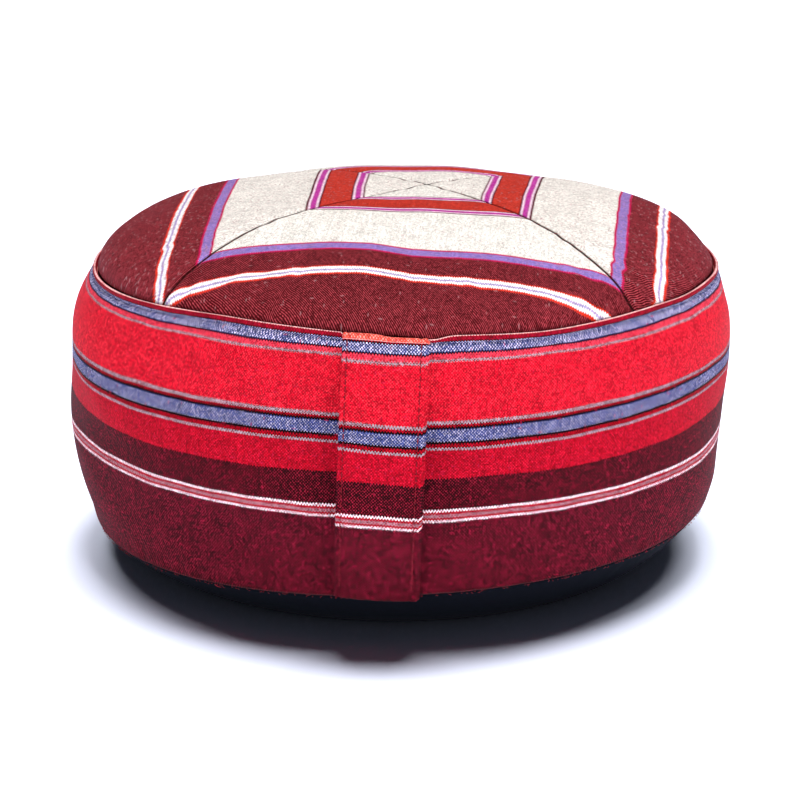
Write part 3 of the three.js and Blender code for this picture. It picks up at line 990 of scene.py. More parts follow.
def crown_stripes(colours):
    """Stripes of the top panels: where each ends, in millimetres from the middle of the pattern,
    and its warp and weft. The first row is where they start."""
    cream, rust, magenta = tuple(colours.cream), tuple(colours.rust), tuple(colours.magenta)
    lilac, maroon = tuple(colours.lilac), tuple(colours.crown_maroon)
    pale, wine, crimson = linear("#F4D4E4"), linear("#56041E"), linear("#C0184C")
    cream_weft, lilac_weft = linear("#CDBAB5"), linear("#B686B6")
    pink, orange, maroon_weft = linear("#CC58B2"), linear("#D8301C"), linear("#AA3E47")
    white, white_weft = linear("#FCF7F5"), linear("#F2E8EE")
    return [
        (30.0,),
        (31.2, cream, cream_weft),
        (32.2, wine, wine),
        (33.3, pale, pale),
        (36.3, magenta, pink),
        (37.2, pale, pale),
        (38.2, wine, wine),
        (52.6, rust, linear("#D44438")),
        (53.6, wine, wine),
        (54.6, pale, pale),
        (57.6, magenta, pink),
        (58.6, pale, pale),
        (59.6, wine, wine),
        (102.0, cream, cream_weft),
        (103.1, crimson, crimson),
        (108.0, lilac, lilac_weft),
        (109.3, crimson, crimson),
        (122.9, maroon, maroon_weft),
        (123.7, orange, orange),
        (125.5, white, white_weft),
        (126.7, linear("#A8A0CC"), lilac_weft),
        (128.6, white, white_weft),
        (129.5, orange, orange),
        (131.0, maroon, maroon_weft),
    ]


def shared_material(name, make, *values, **named):
    """The material of this name, made when the first piece asks for it."""
    return bpy.data.materials.get(name) or make(name, *values, **named)


def band_cloth(colours):
    """The side band's and the strap's cloth: smooth, bright and even, with few slubs."""
    return shared_material("handwoven_cotton_side_band", woven_cotton, band_stripes(colours),
                           BAND_WEAVE, slub_colour="#B4183C", front=(0.12, 0.0),
                           elsewhere=(0.12, 0.0), speckle=0.5, sheen=0.03)


def crown_cloth(colours):
    """The top panels' cloth: drier and slubbier, but for the front panel. Beyond it more weft
    shows, partly as painted sheen that makes the side and back panels paler.
    """
    return shared_material("handwoven_cotton_top_panels", woven_cotton, crown_stripes(colours),
                           TOP_WEAVE, slub_colour="#A8787C", front=(0.1, -0.05),
                           elsewhere=(0.5, 0.15), speckle=0.3, sheen=0.01)


def red_thread(colours):
    """The sewing thread of the topstitching and the mitre seams."""
    return shared_material("spun_thread_dark_red", spun_thread, tuple(colours.thread), fuzz=0.04)


# Drill: the pitch at which its thread is drawn, how closely lint lies on it, for each millimetre,
# and how much the weave counts beside the lint. Between these two sums the weft goes from hidden
# to full.
DRILL_PITCH = 0.9
LINT_SCALE, DRILL_RIDGE = 0.7, 0.25
DRILL_HIDDEN, DRILL_FULL = 0.2, 0.95
DRILL_ROUGH_FROM, DRILL_ROUGHNESS = (0.2, 0.9), (0.76, 0.9)

# Spun thread: how closely its twist runs, for each millimetre, and the shades of its fine lines.
# It is smoother than the cloth.
TWIST_SCALE = 1.4
TWIST_RANGE, TWIST_SHADES = (0.3, 0.7), (0.65, 1.3)
THREAD_ROUGHNESS, THREAD_GLOSS = 0.72, 0.12

# Paper: how closely it is mottled, for each metre, and its faint shades
MOTTLE_SCALE = 6.0
MOTTLE_RANGE, MOTTLE_SHADES = (0.3, 0.7), (0.995, 1.0)


def cotton_drill(name, colour, weft):
    """Plain-woven cotton drill in one dye: close, even and matt, with a little lint. Its thread
    is drawn at about twice the real pitch, so that it shows."""
    material, tree = new_material(name)
    place = add_node(tree, "ShaderNodeAttribute", [], attribute_name="cloth").node.outputs["Vector"]
    waves = add_node(tree, "ShaderNodeVectorMath", [place, (FULL_TURN / DRILL_PITCH,) * 3],
                     operation="MULTIPLY")
    waves = add_node(tree, "ShaderNodeVectorMath", [waves], operation="SINE")
    first, second, _ = add_node(tree, "ShaderNodeSeparateXYZ", [waves]).node.outputs
    weave = add_node(tree, "ShaderNodeMath", [first, second], operation="MULTIPLY")
    lint = add_node(tree, "ShaderNodeTexNoise", [place, LINT_SCALE, 3.0, 0.5])
    height = add_node(tree, "ShaderNodeMath", [weave, DRILL_RIDGE, lint],
                      operation="MULTIPLY_ADD")
    show = add_node(tree, "ShaderNodeMapRange", [height, DRILL_HIDDEN, DRILL_FULL, 0.0, 1.0])
    base = add_node(tree, "ShaderNodeMix", [show, opaque(colour), opaque(weft)], data_type="RGBA")
    relief = add_node(tree, "ShaderNodeBump", {"Height": height, "Strength": 0.35,
                                               "Distance": 0.12 * MM})
    rough = add_node(tree, "ShaderNodeMapRange", [height, *DRILL_ROUGH_FROM, *DRILL_ROUGHNESS])
    surface = add_node(tree, "ShaderNodeBsdfPrincipled", {
        "Base Color": base, "Roughness": rough, "IOR": COTTON_IOR,
        "Specular IOR Level": COTTON_GLOSS, "Normal": relief, "Sheen Weight": 0.01,
        "Sheen Roughness": 0.5, "Sheen Tint": opaque(linear("#C8D4F0"))})
    add_node(tree, "ShaderNodeOutputMaterial", [surface])
    return material


def spun_thread(name, colour, fuzz):
    """Spun cotton thread: twisted, so its shade runs in fine lines, and only slightly glossy."""
    material, tree = new_material(name)
    place = add_node(tree, "ShaderNodeTexCoord", []).node.outputs["Object"]
    twist = add_node(tree, "ShaderNodeTexNoise", [place, TWIST_SCALE / MM, 2.0, 0.5])
    shade = add_node(tree, "ShaderNodeMapRange", [twist, *TWIST_RANGE, *TWIST_SHADES])
    base = add_node(tree, "ShaderNodeHueSaturation", {"Value": shade, "Color": opaque(colour)})
    surface = add_node(tree, "ShaderNodeBsdfPrincipled", {
        "Base Color": base, "Roughness": THREAD_ROUGHNESS, "IOR": COTTON_IOR,
        "Specular IOR Level": THREAD_GLOSS, "Sheen Weight": fuzz})
    add_node(tree, "ShaderNodeOutputMaterial", [surface])
    return material


def studio_paper(name, colour):
    """Matt seamless paper, faintly mottled."""
    material, tree = new_material(name)
    place = add_node(tree, "ShaderNodeTexCoord", []).node.outputs["Object"]
    mottle = add_node(tree, "ShaderNodeTexNoise", [place, MOTTLE_SCALE, 2.0, 0.5])
    mottle = add_node(tree, "ShaderNodeMapRange", [mottle, *MOTTLE_RANGE, *MOTTLE_SHADES])
    base = add_node(tree, "ShaderNodeHueSaturation", {"Value": mottle, "Color": opaque(colour)})
    surface = add_node(tree, "ShaderNodeBsdfPrincipled", {"Base Color": base, "Roughness": 0.95})
    add_node(tree, "ShaderNodeOutputMaterial", [surface])
    return material


# Pieces

# The filled body's steps round, and its rows under the top panels, on the wall and underneath.
# The wall's rows start under the lip, and the last of them is tucked in to the bottom seam.
BODY_STEPS = 600
UNDER_PANEL_ROWS = np.linspace(0.06, 1, 16)
WALL_ROWS = np.linspace(0.026, 1, 84)
UNDERSIDE_ROWS = (0.0, 0.15, 0.3, 0.45, 0.6, 0.8, 1.0)
TUCK_START, TUCK_SPAN = 0.985, 0.015

# The band's turned edge, which makes a lip: how far out, how far back behind the strap, its rise,
# and the stripe height of the cloth there. The stripe heights of its two top rows lie in the pale
# band, a painted highlight along the lip's top.
LIP_SECTION = [
    (-0.9, 0.0, -1.6, 149.0), (-0.9, 0.0, 0.2, 149.0), (-0.7, 0.1, 0.85, 149.0),
    (-0.1, 0.5, 1.25, 150.8), (0.6, 1.0, 1.15, 150.6), (1.05, 1.4, 0.6, 149.1),
    (1.15, 1.5, -0.1, 148.8), (0.85, 1.2, -0.9, 148.2), (0.35, 0.6, -1.6, 147.4),
    (-0.1, 0.2, -2.4, 146.4),
]
LIP_CUT_DOWN = 2.7
LIP_STEP_TURN = math.radians(0.8)

# How deep the filled body lies under the top panels' outer faces
UNDER_PANELS = CLOTH + GAP + 0.4

# Cloth places of what is hidden: beyond the stripes, in the last dark band, which is painted shade
# for what shows through the seams, and away from every seam
HIDDEN_SHADE_CLOTH = 200.0
FAR_FROM_SEAM = 99.0

# The low stripes' cut: how much higher they lie at the right low on the wall, how much less that
# is high up, the height where that change starts, over how much height, and its limits
LOW_SLANT, SLANT_CHANGE = 0.5, 1.4
SLANT_FOOT, SLANT_SPAN, SLANT_LIMITS = 65, 82, (-0.2, 1.05)

# The high stripes follow the top seam, but lie this much lower at the left, at this bearing, and
# as much higher across from it. The low stripes go over to them from this height up, faster near
# the seam.
HIGH_DIP, HIGH_DIP_BEARING = 0.45, math.radians(-70)
HIGH_START, HIGH_POWER = 100, 4


def behind_strap(bearing):
    """One behind the strap, none beside it."""
    away = np.abs(turned(bearing, STRAP_BEARING))
    return 1 - np.clip((away - STRAP_HALF_TURN) / LIP_STEP_TURN, 0, 1)


def cloth_height(bearing, height):
    """Height on the unwaved band of a point of the side band. Low stripes follow the cut of the
    band, and high ones its top seam, a little lower at the left than at the right."""
    slant = LOW_SLANT - SLANT_CHANGE * np.clip((height - SLANT_FOOT) / SLANT_SPAN, *SLANT_LIMITS)
    low = mismatch(bearing) + slant * np.sin(bearing)
    high = rim_height(bearing) - RIM_HEIGHT - HIGH_DIP * np.cos(bearing - HIGH_DIP_BEARING)
    share = np.clip((height - HIGH_START) / (rim_height(bearing) - HIGH_START), 0, 1) ** HIGH_POWER
    return height - low - (high - low) * share


def under_panel_rows(ring, sizes):
    """The filled body under the top panels, from the mitre centre outward."""
    for share in UNDER_PANEL_ROWS:
        x, y = (MITRE + (crown_edge(ring) - MITRE) * share).T
        # Painted shade: the body under the panels takes the last dark band, seen through the seams
        yield crown_point(x, y, UNDER_PANELS, sizes), HIDDEN_SHADE_CLOTH


def lip_rows(ring):
    """The band's turned edge, cut down behind the strap and pulled down beside it."""
    hidden = behind_strap(ring)
    inner_rise, (outer_rise, outer_cloth) = LIP_SECTION[0][2], LIP_SECTION[-1][2:]
    below = cloth_height(ring, rim_height(ring) + outer_rise) - outer_cloth
    for out, back, rise, across in LIP_SECTION:
        upper = np.clip((rise - inner_rise) / -inner_rise, 0, 1)
        drop = upper * np.maximum(LIP_CUT_DOWN * hidden, strap_pull(ring))
        radius = RIM_RADIUS + out - back * hidden
        points = around(ring, radius, rim_height(ring) + rise - drop, RIM_SHIFT)
        yield points, across + below * max(0, rise / outer_rise)


def wall_rows(ring, sizes):
    """The side band from its lip down to the bottom seam."""
    for share in WALL_ROWS:
        height = rim_height(ring) + (seam_height(ring) + GAP - rim_height(ring)) * share
        tuck = SEAM_TUCK * smooth((share - TUCK_START) / TUCK_SPAN)
        level = level_height(ring, height)
        radius = wall_radius(level) + wall_relief(ring, height, sizes) - tuck
        yield around(ring, radius, height, wall_shift(level)), cloth_height(ring, height)


def underside_rows(ring):
    """The filled body inside the base panel."""
    for share in UNDERSIDE_ROWS:
        radius, height = base_profile(ring, np.full(BODY_STEPS, share), CLOTH + GAP)
        yield around(ring, radius, height), HIDDEN_SHADE_CLOTH


def build_body(sizes, colours):
    """The filled cushion, whose wall is the side band."""
    turn = full_ring(BODY_STEPS)
    ring = ENDS_MEET + turn
    rows = [*under_panel_rows(ring, sizes), *lip_rows(ring), *wall_rows(ring, sizes),
            *underside_rows(ring)]
    cloth = [np.stack(np.broadcast_arrays(turn * BELLY_RADIUS, across, FAR_FROM_SEAM), -1)
             for _, across in rows]
    ends = [[0, HIDDEN_SHADE_CLOTH, FAR_FROM_SEAM]] * 2
    middle = crown_point(*MITRE[:, None], UNDER_PANELS, sizes)[0]
    points, faces = closed_rows(np.array([points for points, _ in rows]), middle,
                                [0, 0, CLOTH + GAP])
    body = make_piece("filled_body_with_side_band", points, faces, band_cloth(colours),
                      np.concatenate([*cloth, ends]), "side_band_cloth", ["cushion_body"])


# Rows of a top panel from its tip to the rim, a little closer at the rim, and steps across it,
# closer near its seams
PANEL_ROWS, PANEL_STEPS = 92, 112
ROW_POWER, STEP_CROWDING = 0.9, 0.6

# Where the blue stripe's outer edge meets a mitre seam: how far from the mitre centre, and its
# place across the cloth
CORNER_REACH = 154.0
BLUE_EDGE = 108.9

# The cloth's slack near the rim, which bends the stripes: how far it reaches, and how far it goes
SLACK_REACH, SLACK = 38.0, 1.1
SLACK_SEED = 5

# Top panels: name, and their cut's width, depth and area in metres, without the allowances
PANELS = [
    ("front", 0.238, 0.161, 0.0223),
    ("right", 0.207, 0.153, 0.0192),
    ("back", 0.195, 0.132, 0.0154),
    ("left", 0.226, 0.170, 0.0231),
]


def edge_bearing(bearing):
    """Where a ray from the mitre centre meets the crown's edge, as a bearing of the rim."""
    start, out = MITRE - [RIM_SHIFT, 0], ray(bearing)
    along = start @ out
    end = start + (math.sqrt(along * along - start @ start + CROWN_RADIUS ** 2) - along) * out
    return math.atan2(end[0], -end[1])


def panel_plan(first, second):
    """Plan points of a top panel in rows from its tip to the rim, closer near the seams."""
    start, end = edge_bearing(first), edge_bearing(second)
    end += FULL_TURN if end < start else 0
    even = np.linspace(0, 1, PANEL_STEPS)
    crowded = 0.5 - 0.5 * np.cos(math.pi * even)
    share = (1 - STEP_CROWDING) * even + STEP_CROWDING * crowded
    edge = crown_edge(start + (end - start) * share, GAP)
    chord = (edge[-1] - edge[0]) / np.linalg.norm(edge[-1] - edge[0])
    edge[0] += chord * GAP / 2
    edge[-1] -= chord * GAP / 2
    toward = edge[PANEL_STEPS // 2] - MITRE
    tip = MITRE + toward / np.linalg.norm(toward) * GAP
    out = np.linspace(0, 1, PANEL_ROWS + 1)[1:] ** ROW_POWER
    return tip, tip + (edge[None] - tip) * out[:, None, None]


# Where the front stripes wander from straight, in millimetres inward: x, y, reach and how far
FRONT_WANDER = [
    (-106, -106, 13, 2.0),
    (-88, -116, 11, -1.0),
    (26, -128, 62, -2.6),
    (30, -84, 40, -0.6),
]


def panel_cloth(points, side):
    """The place on the flat cloth of plan points of one panel. Its stripes run from one mitre
    seam to the next, so their direction comes from the corners that a stripe has there."""
    corners = [CORNER_REACH * ray(MITRE_BEARINGS[(side + turn) % len(PANELS)]) for turn in (0, 1)]
    shares = (points - MITRE) @ np.linalg.inv(corners)
    along = (shares[..., 1] - shares[..., 0]) * BLUE_EDGE + PANEL_SPACING * side
    across = shares.sum(-1) * BLUE_EDGE
    x, y = points[..., 0], points[..., 1]
    share, bearing = crown_place(x, y)
    slack = gathers(bearing * CROWN_RADIUS, (1 - share) * CROWN_RADIUS, SLACK,
                    (SLACK_REACH, 1.0, SLACK_SEED + side))
    if PANELS[side][0] == "front":
        slack += soft_spots(x, y, FRONT_WANDER)
    return np.stack([along, across + slack, seam_distance(x, y)], -1)


def build_top_panels(sizes, colours):
    """The four mitred panels, each a sheet with an outer and an inner face."""
    for side, (name, width, depth, area) in enumerate(PANELS):
        tip, plan = panel_plan(MITRE_BEARINGS[side], MITRE_BEARINGS[(side + 1) % len(PANELS)])
        layers = []
        for below in (0.0, CLOTH):
            layers.append(crown_point(*tip[:, None], below, sizes))
            layers.append(crown_point(plan[..., 0], plan[..., 1], below, sizes).reshape(-1, 3))
        flat = [panel_cloth(tip[None], side), panel_cloth(plan, side).reshape(-1, 3)]
        panel = make_piece(f"top_panel_{name}_cloth", np.concatenate(layers), panel_faces(),
                           crown_cloth(colours), np.concatenate([*flat, *flat]),
                           "top_panel_cloth", [f"top_panel_{name}"])


def panel_faces():
    """Faces of a panel's outer layer, its inner layer and the edge between them."""
    size = 1 + PANEL_ROWS * PANEL_STEPS
    outer = [[corner + 1 for corner in face] for face in grid_faces(PANEL_ROWS, PANEL_STEPS)]
    outer += [[0, 1 + step, 2 + step] for step in range(PANEL_STEPS - 1)]
    inner = [[corner + size for corner in face[::-1]] for face in outer]
    last = 1 + (PANEL_ROWS - 1) * PANEL_STEPS
    border = [0, *range(1, last, PANEL_STEPS), *range(last, last + PANEL_STEPS),
              *range(last - 1, 1, -PANEL_STEPS)]
    edge = [[here, here + size, there + size, there]
            for here, there in zip(border, border[1:] + border[:1])]
    return outer + inner + edge


# Base panel: its steps round, its rows from the seam to the flat disc and the disc's own rings,
# the cloth's length there, and the share of it over which the puckers set in
BASE_STEPS, BASE_ROWS = 360, 40
DISC_RINGS = (0.75, 0.5, 0.25)
BASE_LENGTH, PUCKER_START = 55.0, 0.12


def build_base(sizes, colours):
    """The base panel, from the bottom seam over its turn to the flat disc."""
    ring = full_ring(BASE_STEPS)
    layers = []
    for inside in (0.0, CLOTH):
        rows = []
        for share in np.linspace(0, 1, BASE_ROWS):
            pucker = gathers(ring * BELLY_RADIUS, share * BASE_LENGTH, sizes.pucker, BASE_PUCKERS)
            depth = inside + smooth(share / PUCKER_START) * pucker
            radius, height = base_profile(ring, np.full(BASE_STEPS, share), depth)
            rows.append(around(ring, radius, np.maximum(height, inside)))
        rows += [around(ring, FLAT_RADIUS * part, inside) for part in DISC_RINGS]
        layers.append(np.array(rows))
    rows = np.concatenate([layers[0][::-1], layers[1]])
    points, faces = closed_rows(rows, [0, 0, 0], [0, 0, CLOTH])
    drill = shared_material("navy_cotton_drill", cotton_drill, tuple(colours.navy),
                            linear("#10141F"))
    base = make_piece("base_panel_cloth", points, faces, drill, points * [1, 1, 0.0],
                      "base_cloth", ["base_panel"])


# Strap: its rows, closer near the top, the rows of its rolled edge, and how much higher that is
# set than its own height needs
STRAP_STEPS, ROLL_STEPS, STRAP_ROW_POWER = 160, 12, 1.3
ROLL_LIFT = 0.4
LENGTH_SAMPLES = 2000

# Its section: the step of the under fold at its right, the points across each face, the lines of
# stitches, and the points set close round each line
FOLD_STEP = 1.1
FACE_POINTS, CORNER_POINTS = 24, 4
STITCH_LINES = (17.2, -15.8)
NEAR_STITCHES, STITCHES_CLEAR = (-1.2, -0.75, -0.35, 0.0, 0.35, 0.75, 1.2), 1.5

# Waves through the strap: their depth and length, how they turn across it, and the length from
# its top over which they set in
WAVE_DEPTH, WAVE_LENGTH, WAVE_TURN, WAVE_START = 0.25, 41, 0.12, 15

# How far topstitching sinks the face, what the needle's holes add, and half the sink's width
STITCH_SINK, HOLE_SINK, STITCH_SINK_HALF = 0.22, 0.25, 0.75

# The stripes lie this much higher on the under fold, which shows at the right, from this far
# right of the middle and over this width
KINK, KINK_START, KINK_WIDTH = 1.2, 17.6, 2

# The strap's place along its cloth, well away from the band's, so that its weave differs
STRAP_ALONG = 1500.0

# Where the strap's cloth lies: its length from the top, and the stripe height there plus length
STRAP_EASE = [(-8, 157), (3, 157), (3.15, 151.7), (9, 151.5), (14, 152.3), (43, 152.2),
              (50, 151.4), (90, 151.3), (135, 151.1)]


def strap_middle(share):
    """The strap's inner face along its middle, from its top (0) to its foot (1), with the
    outward direction there and how much it bends round the cushion."""
    top = float(rim_height(STRAP_BEARING)) + STRAP_END_LIFT
    foot = float(seam_height(STRAP_BEARING)) + STRAP_END_LIFT
    height = top + (foot - top) * share
    x = STRAP_TOP_X + (STRAP_FOOT_X - STRAP_TOP_X) * share
    radius = wall_radius(np.minimum(height, float(rim_height(STRAP_BEARING))))
    y = -np.sqrt(radius ** 2 - (x - wall_shift(height)) ** 2)
    bow = np.sin(math.pi * share ** STRAP_BELLY_POWER)
    outward = np.stack([x - wall_shift(height), y, np.zeros_like(y)], -1)
    outward /= np.linalg.norm(outward, axis=-1, keepdims=True)
    middle = np.stack([x, y, height], -1) + outward * (GAP + STRAP_STAND_OFF * bow)[:, None]
    return middle, outward, (1 - STRAP_FLATTENING * bow) / (2 * radius)


def strap_outline():
    """Places across (towards the left) and through the folded strap. At its right the under
    fold stands out a step beyond the upper one."""
    half, edge, middle = STRAP_WIDTH / 2, STRAP_THICKNESS / 4, STRAP_THICKNESS / 2
    top = STRAP_THICKNESS
    near = [line + step for line in STITCH_LINES for step in NEAR_STITCHES]
    even = [place for place in np.linspace(-half + FOLD_STEP + edge, half - middle, FACE_POINTS)
            if min(abs(place - line) for line in STITCH_LINES) > STITCHES_CLEAR]
    front = [(place, top) for place in sorted([*even, *near])]
    quarter = np.linspace(0, math.pi / 2, CORNER_POINTS)
    left = [(half - middle + middle * math.sin(2 * turn), middle + middle * math.cos(2 * turn))
            for turn in quarter[1:-1]]
    back = [(place, 0.0) for place in np.linspace(half - middle, -half + edge, FACE_POINTS)]
    under = [(-half + edge - edge * math.sin(2 * turn), edge - edge * math.cos(2 * turn))
             for turn in quarter[1:]]
    step = [(-half + FOLD_STEP, 2 * edge + 0.05), (-half + FOLD_STEP - 0.1, 3 * edge),
            (-half + FOLD_STEP + 0.15, top - 0.15)]
    return np.array(front + left + back + under + step)


def strap_rows():
    """Rows of the strap's middle from the end of its roll to its foot, each with its direction
    out through the cloth, its bend, its length from the top and its slant."""
    top = STRAP_ROLL_RADIUS + STRAP_THICKNESS - ROLL_LIFT
    middle, outward, bend = strap_middle(np.linspace(0, 1, LENGTH_SAMPLES))
    length = np.concatenate([[0], np.cumsum(np.linalg.norm(np.diff(middle, axis=0), axis=1))])
    places = top + (length[-1] - top) * np.linspace(0, 1, STRAP_STEPS) ** STRAP_ROW_POWER
    middle, outward = [np.stack([np.interp(places, length, column) for column in columns.T], -1)
                       for columns in (middle, outward)]
    bend = np.interp(places, length, bend)
    down = np.gradient(middle, axis=0)
    down /= np.linalg.norm(down, axis=1, keepdims=True)
    across = np.cross(down, outward)
    across /= np.linalg.norm(across, axis=1, keepdims=True)
    through = np.cross(across, down)
    lean = math.asin(through[0, 2])
    turns = np.linspace(STRAP_ROLL_TURN, lean, ROLL_STEPS, endpoint=False)
    roll_through = np.cos(turns)[:, None] * outward[0] + np.sin(turns)[:, None] * UP
    roll_middle = middle[0] + STRAP_ROLL_RADIUS * (roll_through - through[0])
    middle_turn = STRAP_ROLL_RADIUS + STRAP_THICKNESS / 2
    return {
        "middle": np.concatenate([roll_middle, middle]),
        "through": np.concatenate([roll_through, through]),
        "across": np.concatenate([np.repeat(across[:1], ROLL_STEPS, 0), across]),
        "outward": np.concatenate([np.repeat(outward[:1], ROLL_STEPS, 0), outward]),
        "bend": np.concatenate([np.repeat(bend[:1], ROLL_STEPS), bend]),
        "length": np.concatenate([places[0] - middle_turn * (turns - lean), places]),
    }


def roll_wave(length, side):
    """How much the strap's rolled edge stands up: more at its left than at its right."""
    rise = ROLL_RISE * np.tanh((side - ROLL_MIDDLE) / ROLL_SPREAD)
    return rise * smooth(1 - length / ROLL_REACH)


def strap_slant(length):
    """The strap's rise to its left for each millimetre across."""
    return STRAP_SLANT * np.clip(1 - length / STRAP_SLANT_END, STRAP_SLANT_FOOT, 1)


def strap_wave(length, side):
    """How far the strap's cloth waves outward."""
    wave = WAVE_DEPTH * np.sin(FULL_TURN * length / WAVE_LENGTH + WAVE_TURN * side)
    return wave * smooth(length / WAVE_START)


def strap_point(rows, side, depth):
    """Points at places across and through the strap, for each of its rows."""
    side, depth = np.broadcast_arrays(side, depth)
    length = rows["length"][:, None]
    slant = strap_slant(length) * side + roll_wave(length, side)
    return (rows["middle"][:, None] + rows["across"][:, None] * side[..., None]
            + rows["through"][:, None] * depth[..., None]
            - rows["outward"][:, None] * (rows["bend"][:, None] * side ** 2)[..., None]
            + UP * slant[..., None])


def stitch_sink(length, side, sizes):
    """How far the topstitching pulls the strap's face in, deepest where the needle went."""
    holes = 0.5 + 0.5 * np.cos(FULL_TURN * length / sizes.stitch_pitch)
    beside = sum(bump(side - line, STITCH_SINK_HALF) for line in STITCH_LINES)
    return (STITCH_SINK + HOLE_SINK * holes) * beside


def build_strap(sizes, colours):
    """The folded strap, in stripes that follow the band's, and its topstitching."""
    rows = strap_rows()
    side, depth = strap_outline().T
    length = rows["length"][:, None]
    front = smooth((depth - STRAP_THICKNESS / 2) * 2 / STRAP_THICKNESS)
    raised = depth + strap_wave(length, side) - front * stitch_sink(length, side, sizes)
    points = strap_point(rows, np.broadcast_to(side, raised.shape), raised)
    points, faces = closed_rows(points, points[0].mean(0), points[-1].mean(0))
    ease = np.interp(length, *np.transpose(STRAP_EASE))
    kink = KINK * smooth((-side - KINK_START) / KINK_WIDTH)
    across = ease - length - (STRAP_SLANT - strap_slant(length)) * side - kink
    cloth = np.stack(np.broadcast_arrays(side + STRAP_ALONG, across, FAR_FROM_SEAM), -1)
    ends = [[STRAP_ALONG, HIDDEN_SHADE_CLOTH, FAR_FROM_SEAM]] * 2
    strap = make_piece("carry_strap_folded_cloth", points, faces, band_cloth(colours),
                       np.concatenate([cloth.reshape(-1, 3), ends]), "strap_cloth",
                       ["carry_strap"])
    stitches = build_topstitching(rows, sizes, colours)


# A topstitch: the share of its pitch that it covers, how high it arches from its holes and how
# deep those lie, its thickness along it, and how far above the strap's foot the last one ends
STITCH_COVERS = (0.12, 0.88)
STITCH_ARCH, STITCH_HOLE = 0.42, 0.3
STITCH_TAPER = np.array([0.5, 0.9, 1, 1, 0.9, 0.5])
STITCHES_END = 4


def build_topstitching(rows, sizes, colours):
    """Stitches along both edges of the strap, each an arc of thread from hole to hole."""
    length = rows["length"]
    parts = []
    points = len(STITCH_TAPER)
    lift = STITCH_ARCH * np.sin(np.linspace(0, math.pi, points)) - STITCH_HOLE
    for line in STITCH_LINES:
        for number in range(1, int((length[-1] - STITCHES_END) / sizes.stitch_pitch)):
            places = (number + np.linspace(*STITCH_COVERS, points)) * sizes.stitch_pitch
            here = {key: np.array([[np.interp(place, length, value) for value in columns.T]
                                   for place in places])
                    for key, columns in rows.items() if columns.ndim == 2}
            here["bend"] = np.interp(places, length, rows["bend"])
            here["length"] = places
            depth = (STRAP_THICKNESS + strap_wave(places, line) + lift)[:, None]
            path = strap_point(here, np.full((points, 1), line), depth)[:, 0]
            parts.append(tube(path, sizes.thread / 2 * STITCH_TAPER))
    return make_piece("strap_topstitching", *joined(parts), red_thread(colours)).name


# Ladder stitches in the mitre seams: their pitch, and how far they keep from a seam's ends
LADDER_PITCH, LADDER_CLEAR = 3.2, 4.0

# One ladder stitch: half of what it spans, how it leans, its thread's radius and taper, how high
# its middle stands and how much lower its ends lie
LADDER_HALF, LADDER_LEAN = 0.9, 0.5
LADDER_RADIUS, LADDER_TAPER = 0.17, np.array([0.6, 1, 1, 1, 0.6])
LADDER_RISE, LADDER_SINK = 0.16, 0.45

# How much the stitches differ in height, and how that changes from seam to seam
LADDER_UNEVEN, LADDER_PHASE = 0.12, 5.0


def build_seam_stitching(sizes, colours):
    """Ladder stitches that show in the mitre seams, where the panels are drawn together."""
    parts = []
    slip = np.linspace(-LADDER_HALF, LADDER_HALF, len(LADDER_TAPER))
    sink = LADDER_SINK * (slip / LADDER_HALF) ** 2
    for number, bearing in enumerate(MITRE_BEARINGS):
        out = ray(bearing)
        beside = np.array([-out[1], out[0]])
        reach = np.linalg.norm(crown_edge(edge_bearing(bearing)) - MITRE)
        for place in np.arange(LADDER_CLEAR, reach - LADDER_CLEAR, LADDER_PITCH):
            plan = MITRE + out * (place + LADDER_LEAN * slip[:, None]) + beside * slip[:, None]
            path = crown_point(plan[:, 0], plan[:, 1], np.zeros((len(slip), 1)), sizes)
            uneven = LADDER_UNEVEN * math.sin(LADDER_PHASE * number + place)
            path[:, 2] += LADDER_RISE - sink + uneven
            parts.append(tube(path, LADDER_RADIUS * LADDER_TAPER, sides=5))
    make_piece("mitre_seam_stitching", *joined(parts), red_thread(colours))


# Loose fibres along the bottom seam, and every so many of them a longer thread end: how long and
# how thick they are, and how both taper
FIBRES, THREAD_END_EVERY = 420, 70
FIBRE_LENGTHS, THREAD_END_LENGTHS = (0.7, 1.6), (3.5, 6)
FIBRE_RADIUS, THREAD_END_RADIUS = 0.08, 0.17
FIBRE_TAPER = np.array([0.9, 1, 1, 0.8, 0.4])

# Where a fibre starts below the seam and inside the wall, and how far it turns to one side
FIBRE_BELOW, FIBRE_INSIDE, FIBRE_TURNS = (-0.6, 0.3), 0.9, (-1.3, 1.3)

# How far it drops and bends in, as shares of its length, and how far it bulges and stands out
FIBRE_DROP, FIBRE_BEND = 0.75, 0.5
FIBRE_BULGE, FIBRE_STAND_OFF = 0.5, 0.3


def build_seam_fibres():
    """Short loose fibres and a few thread ends along the bottom seam."""
    rng = random.Random(SEED)
    steps = np.linspace(0, 1, len(FIBRE_TAPER))
    parts = []
    for number in range(FIBRES):
        thread_end = number % THREAD_END_EVERY == 0
        bearing = rng.uniform(0, FULL_TURN)
        size = rng.uniform(*(THREAD_END_LENGTHS if thread_end else FIBRE_LENGTHS))
        turn = rng.uniform(*FIBRE_TURNS)
        height = float(seam_height(bearing)) - rng.uniform(*FIBRE_BELOW)
        root = float(wall_radius(height)) - FIBRE_INSIDE
        bearings = bearing + size * math.sin(turn) * steps / root
        heights = height - size * math.cos(turn) * steps * FIBRE_DROP
        out = (root - FIBRE_BEND * size * steps ** 2 * math.cos(turn)
               + FIBRE_BULGE * np.sin(math.pi * steps) + FIBRE_STAND_OFF)
        radius = (THREAD_END_RADIUS if thread_end else FIBRE_RADIUS) * FIBRE_TAPER
        parts.append(tube(around(bearings, out, heights), radius, sides=4))
    fibre = shared_material("loose_cotton_fibre_red", spun_thread, linear("#A80C26"), fuzz=0.1)
    make_piece("bottom_seam_fibres", *joined(parts), fibre)


# Stage

# Paper and room have one colour, and the paper reaches far out of the picture
PAPER_COLOUR = "#E6ECFF"
PAPER_HALF = 8.0

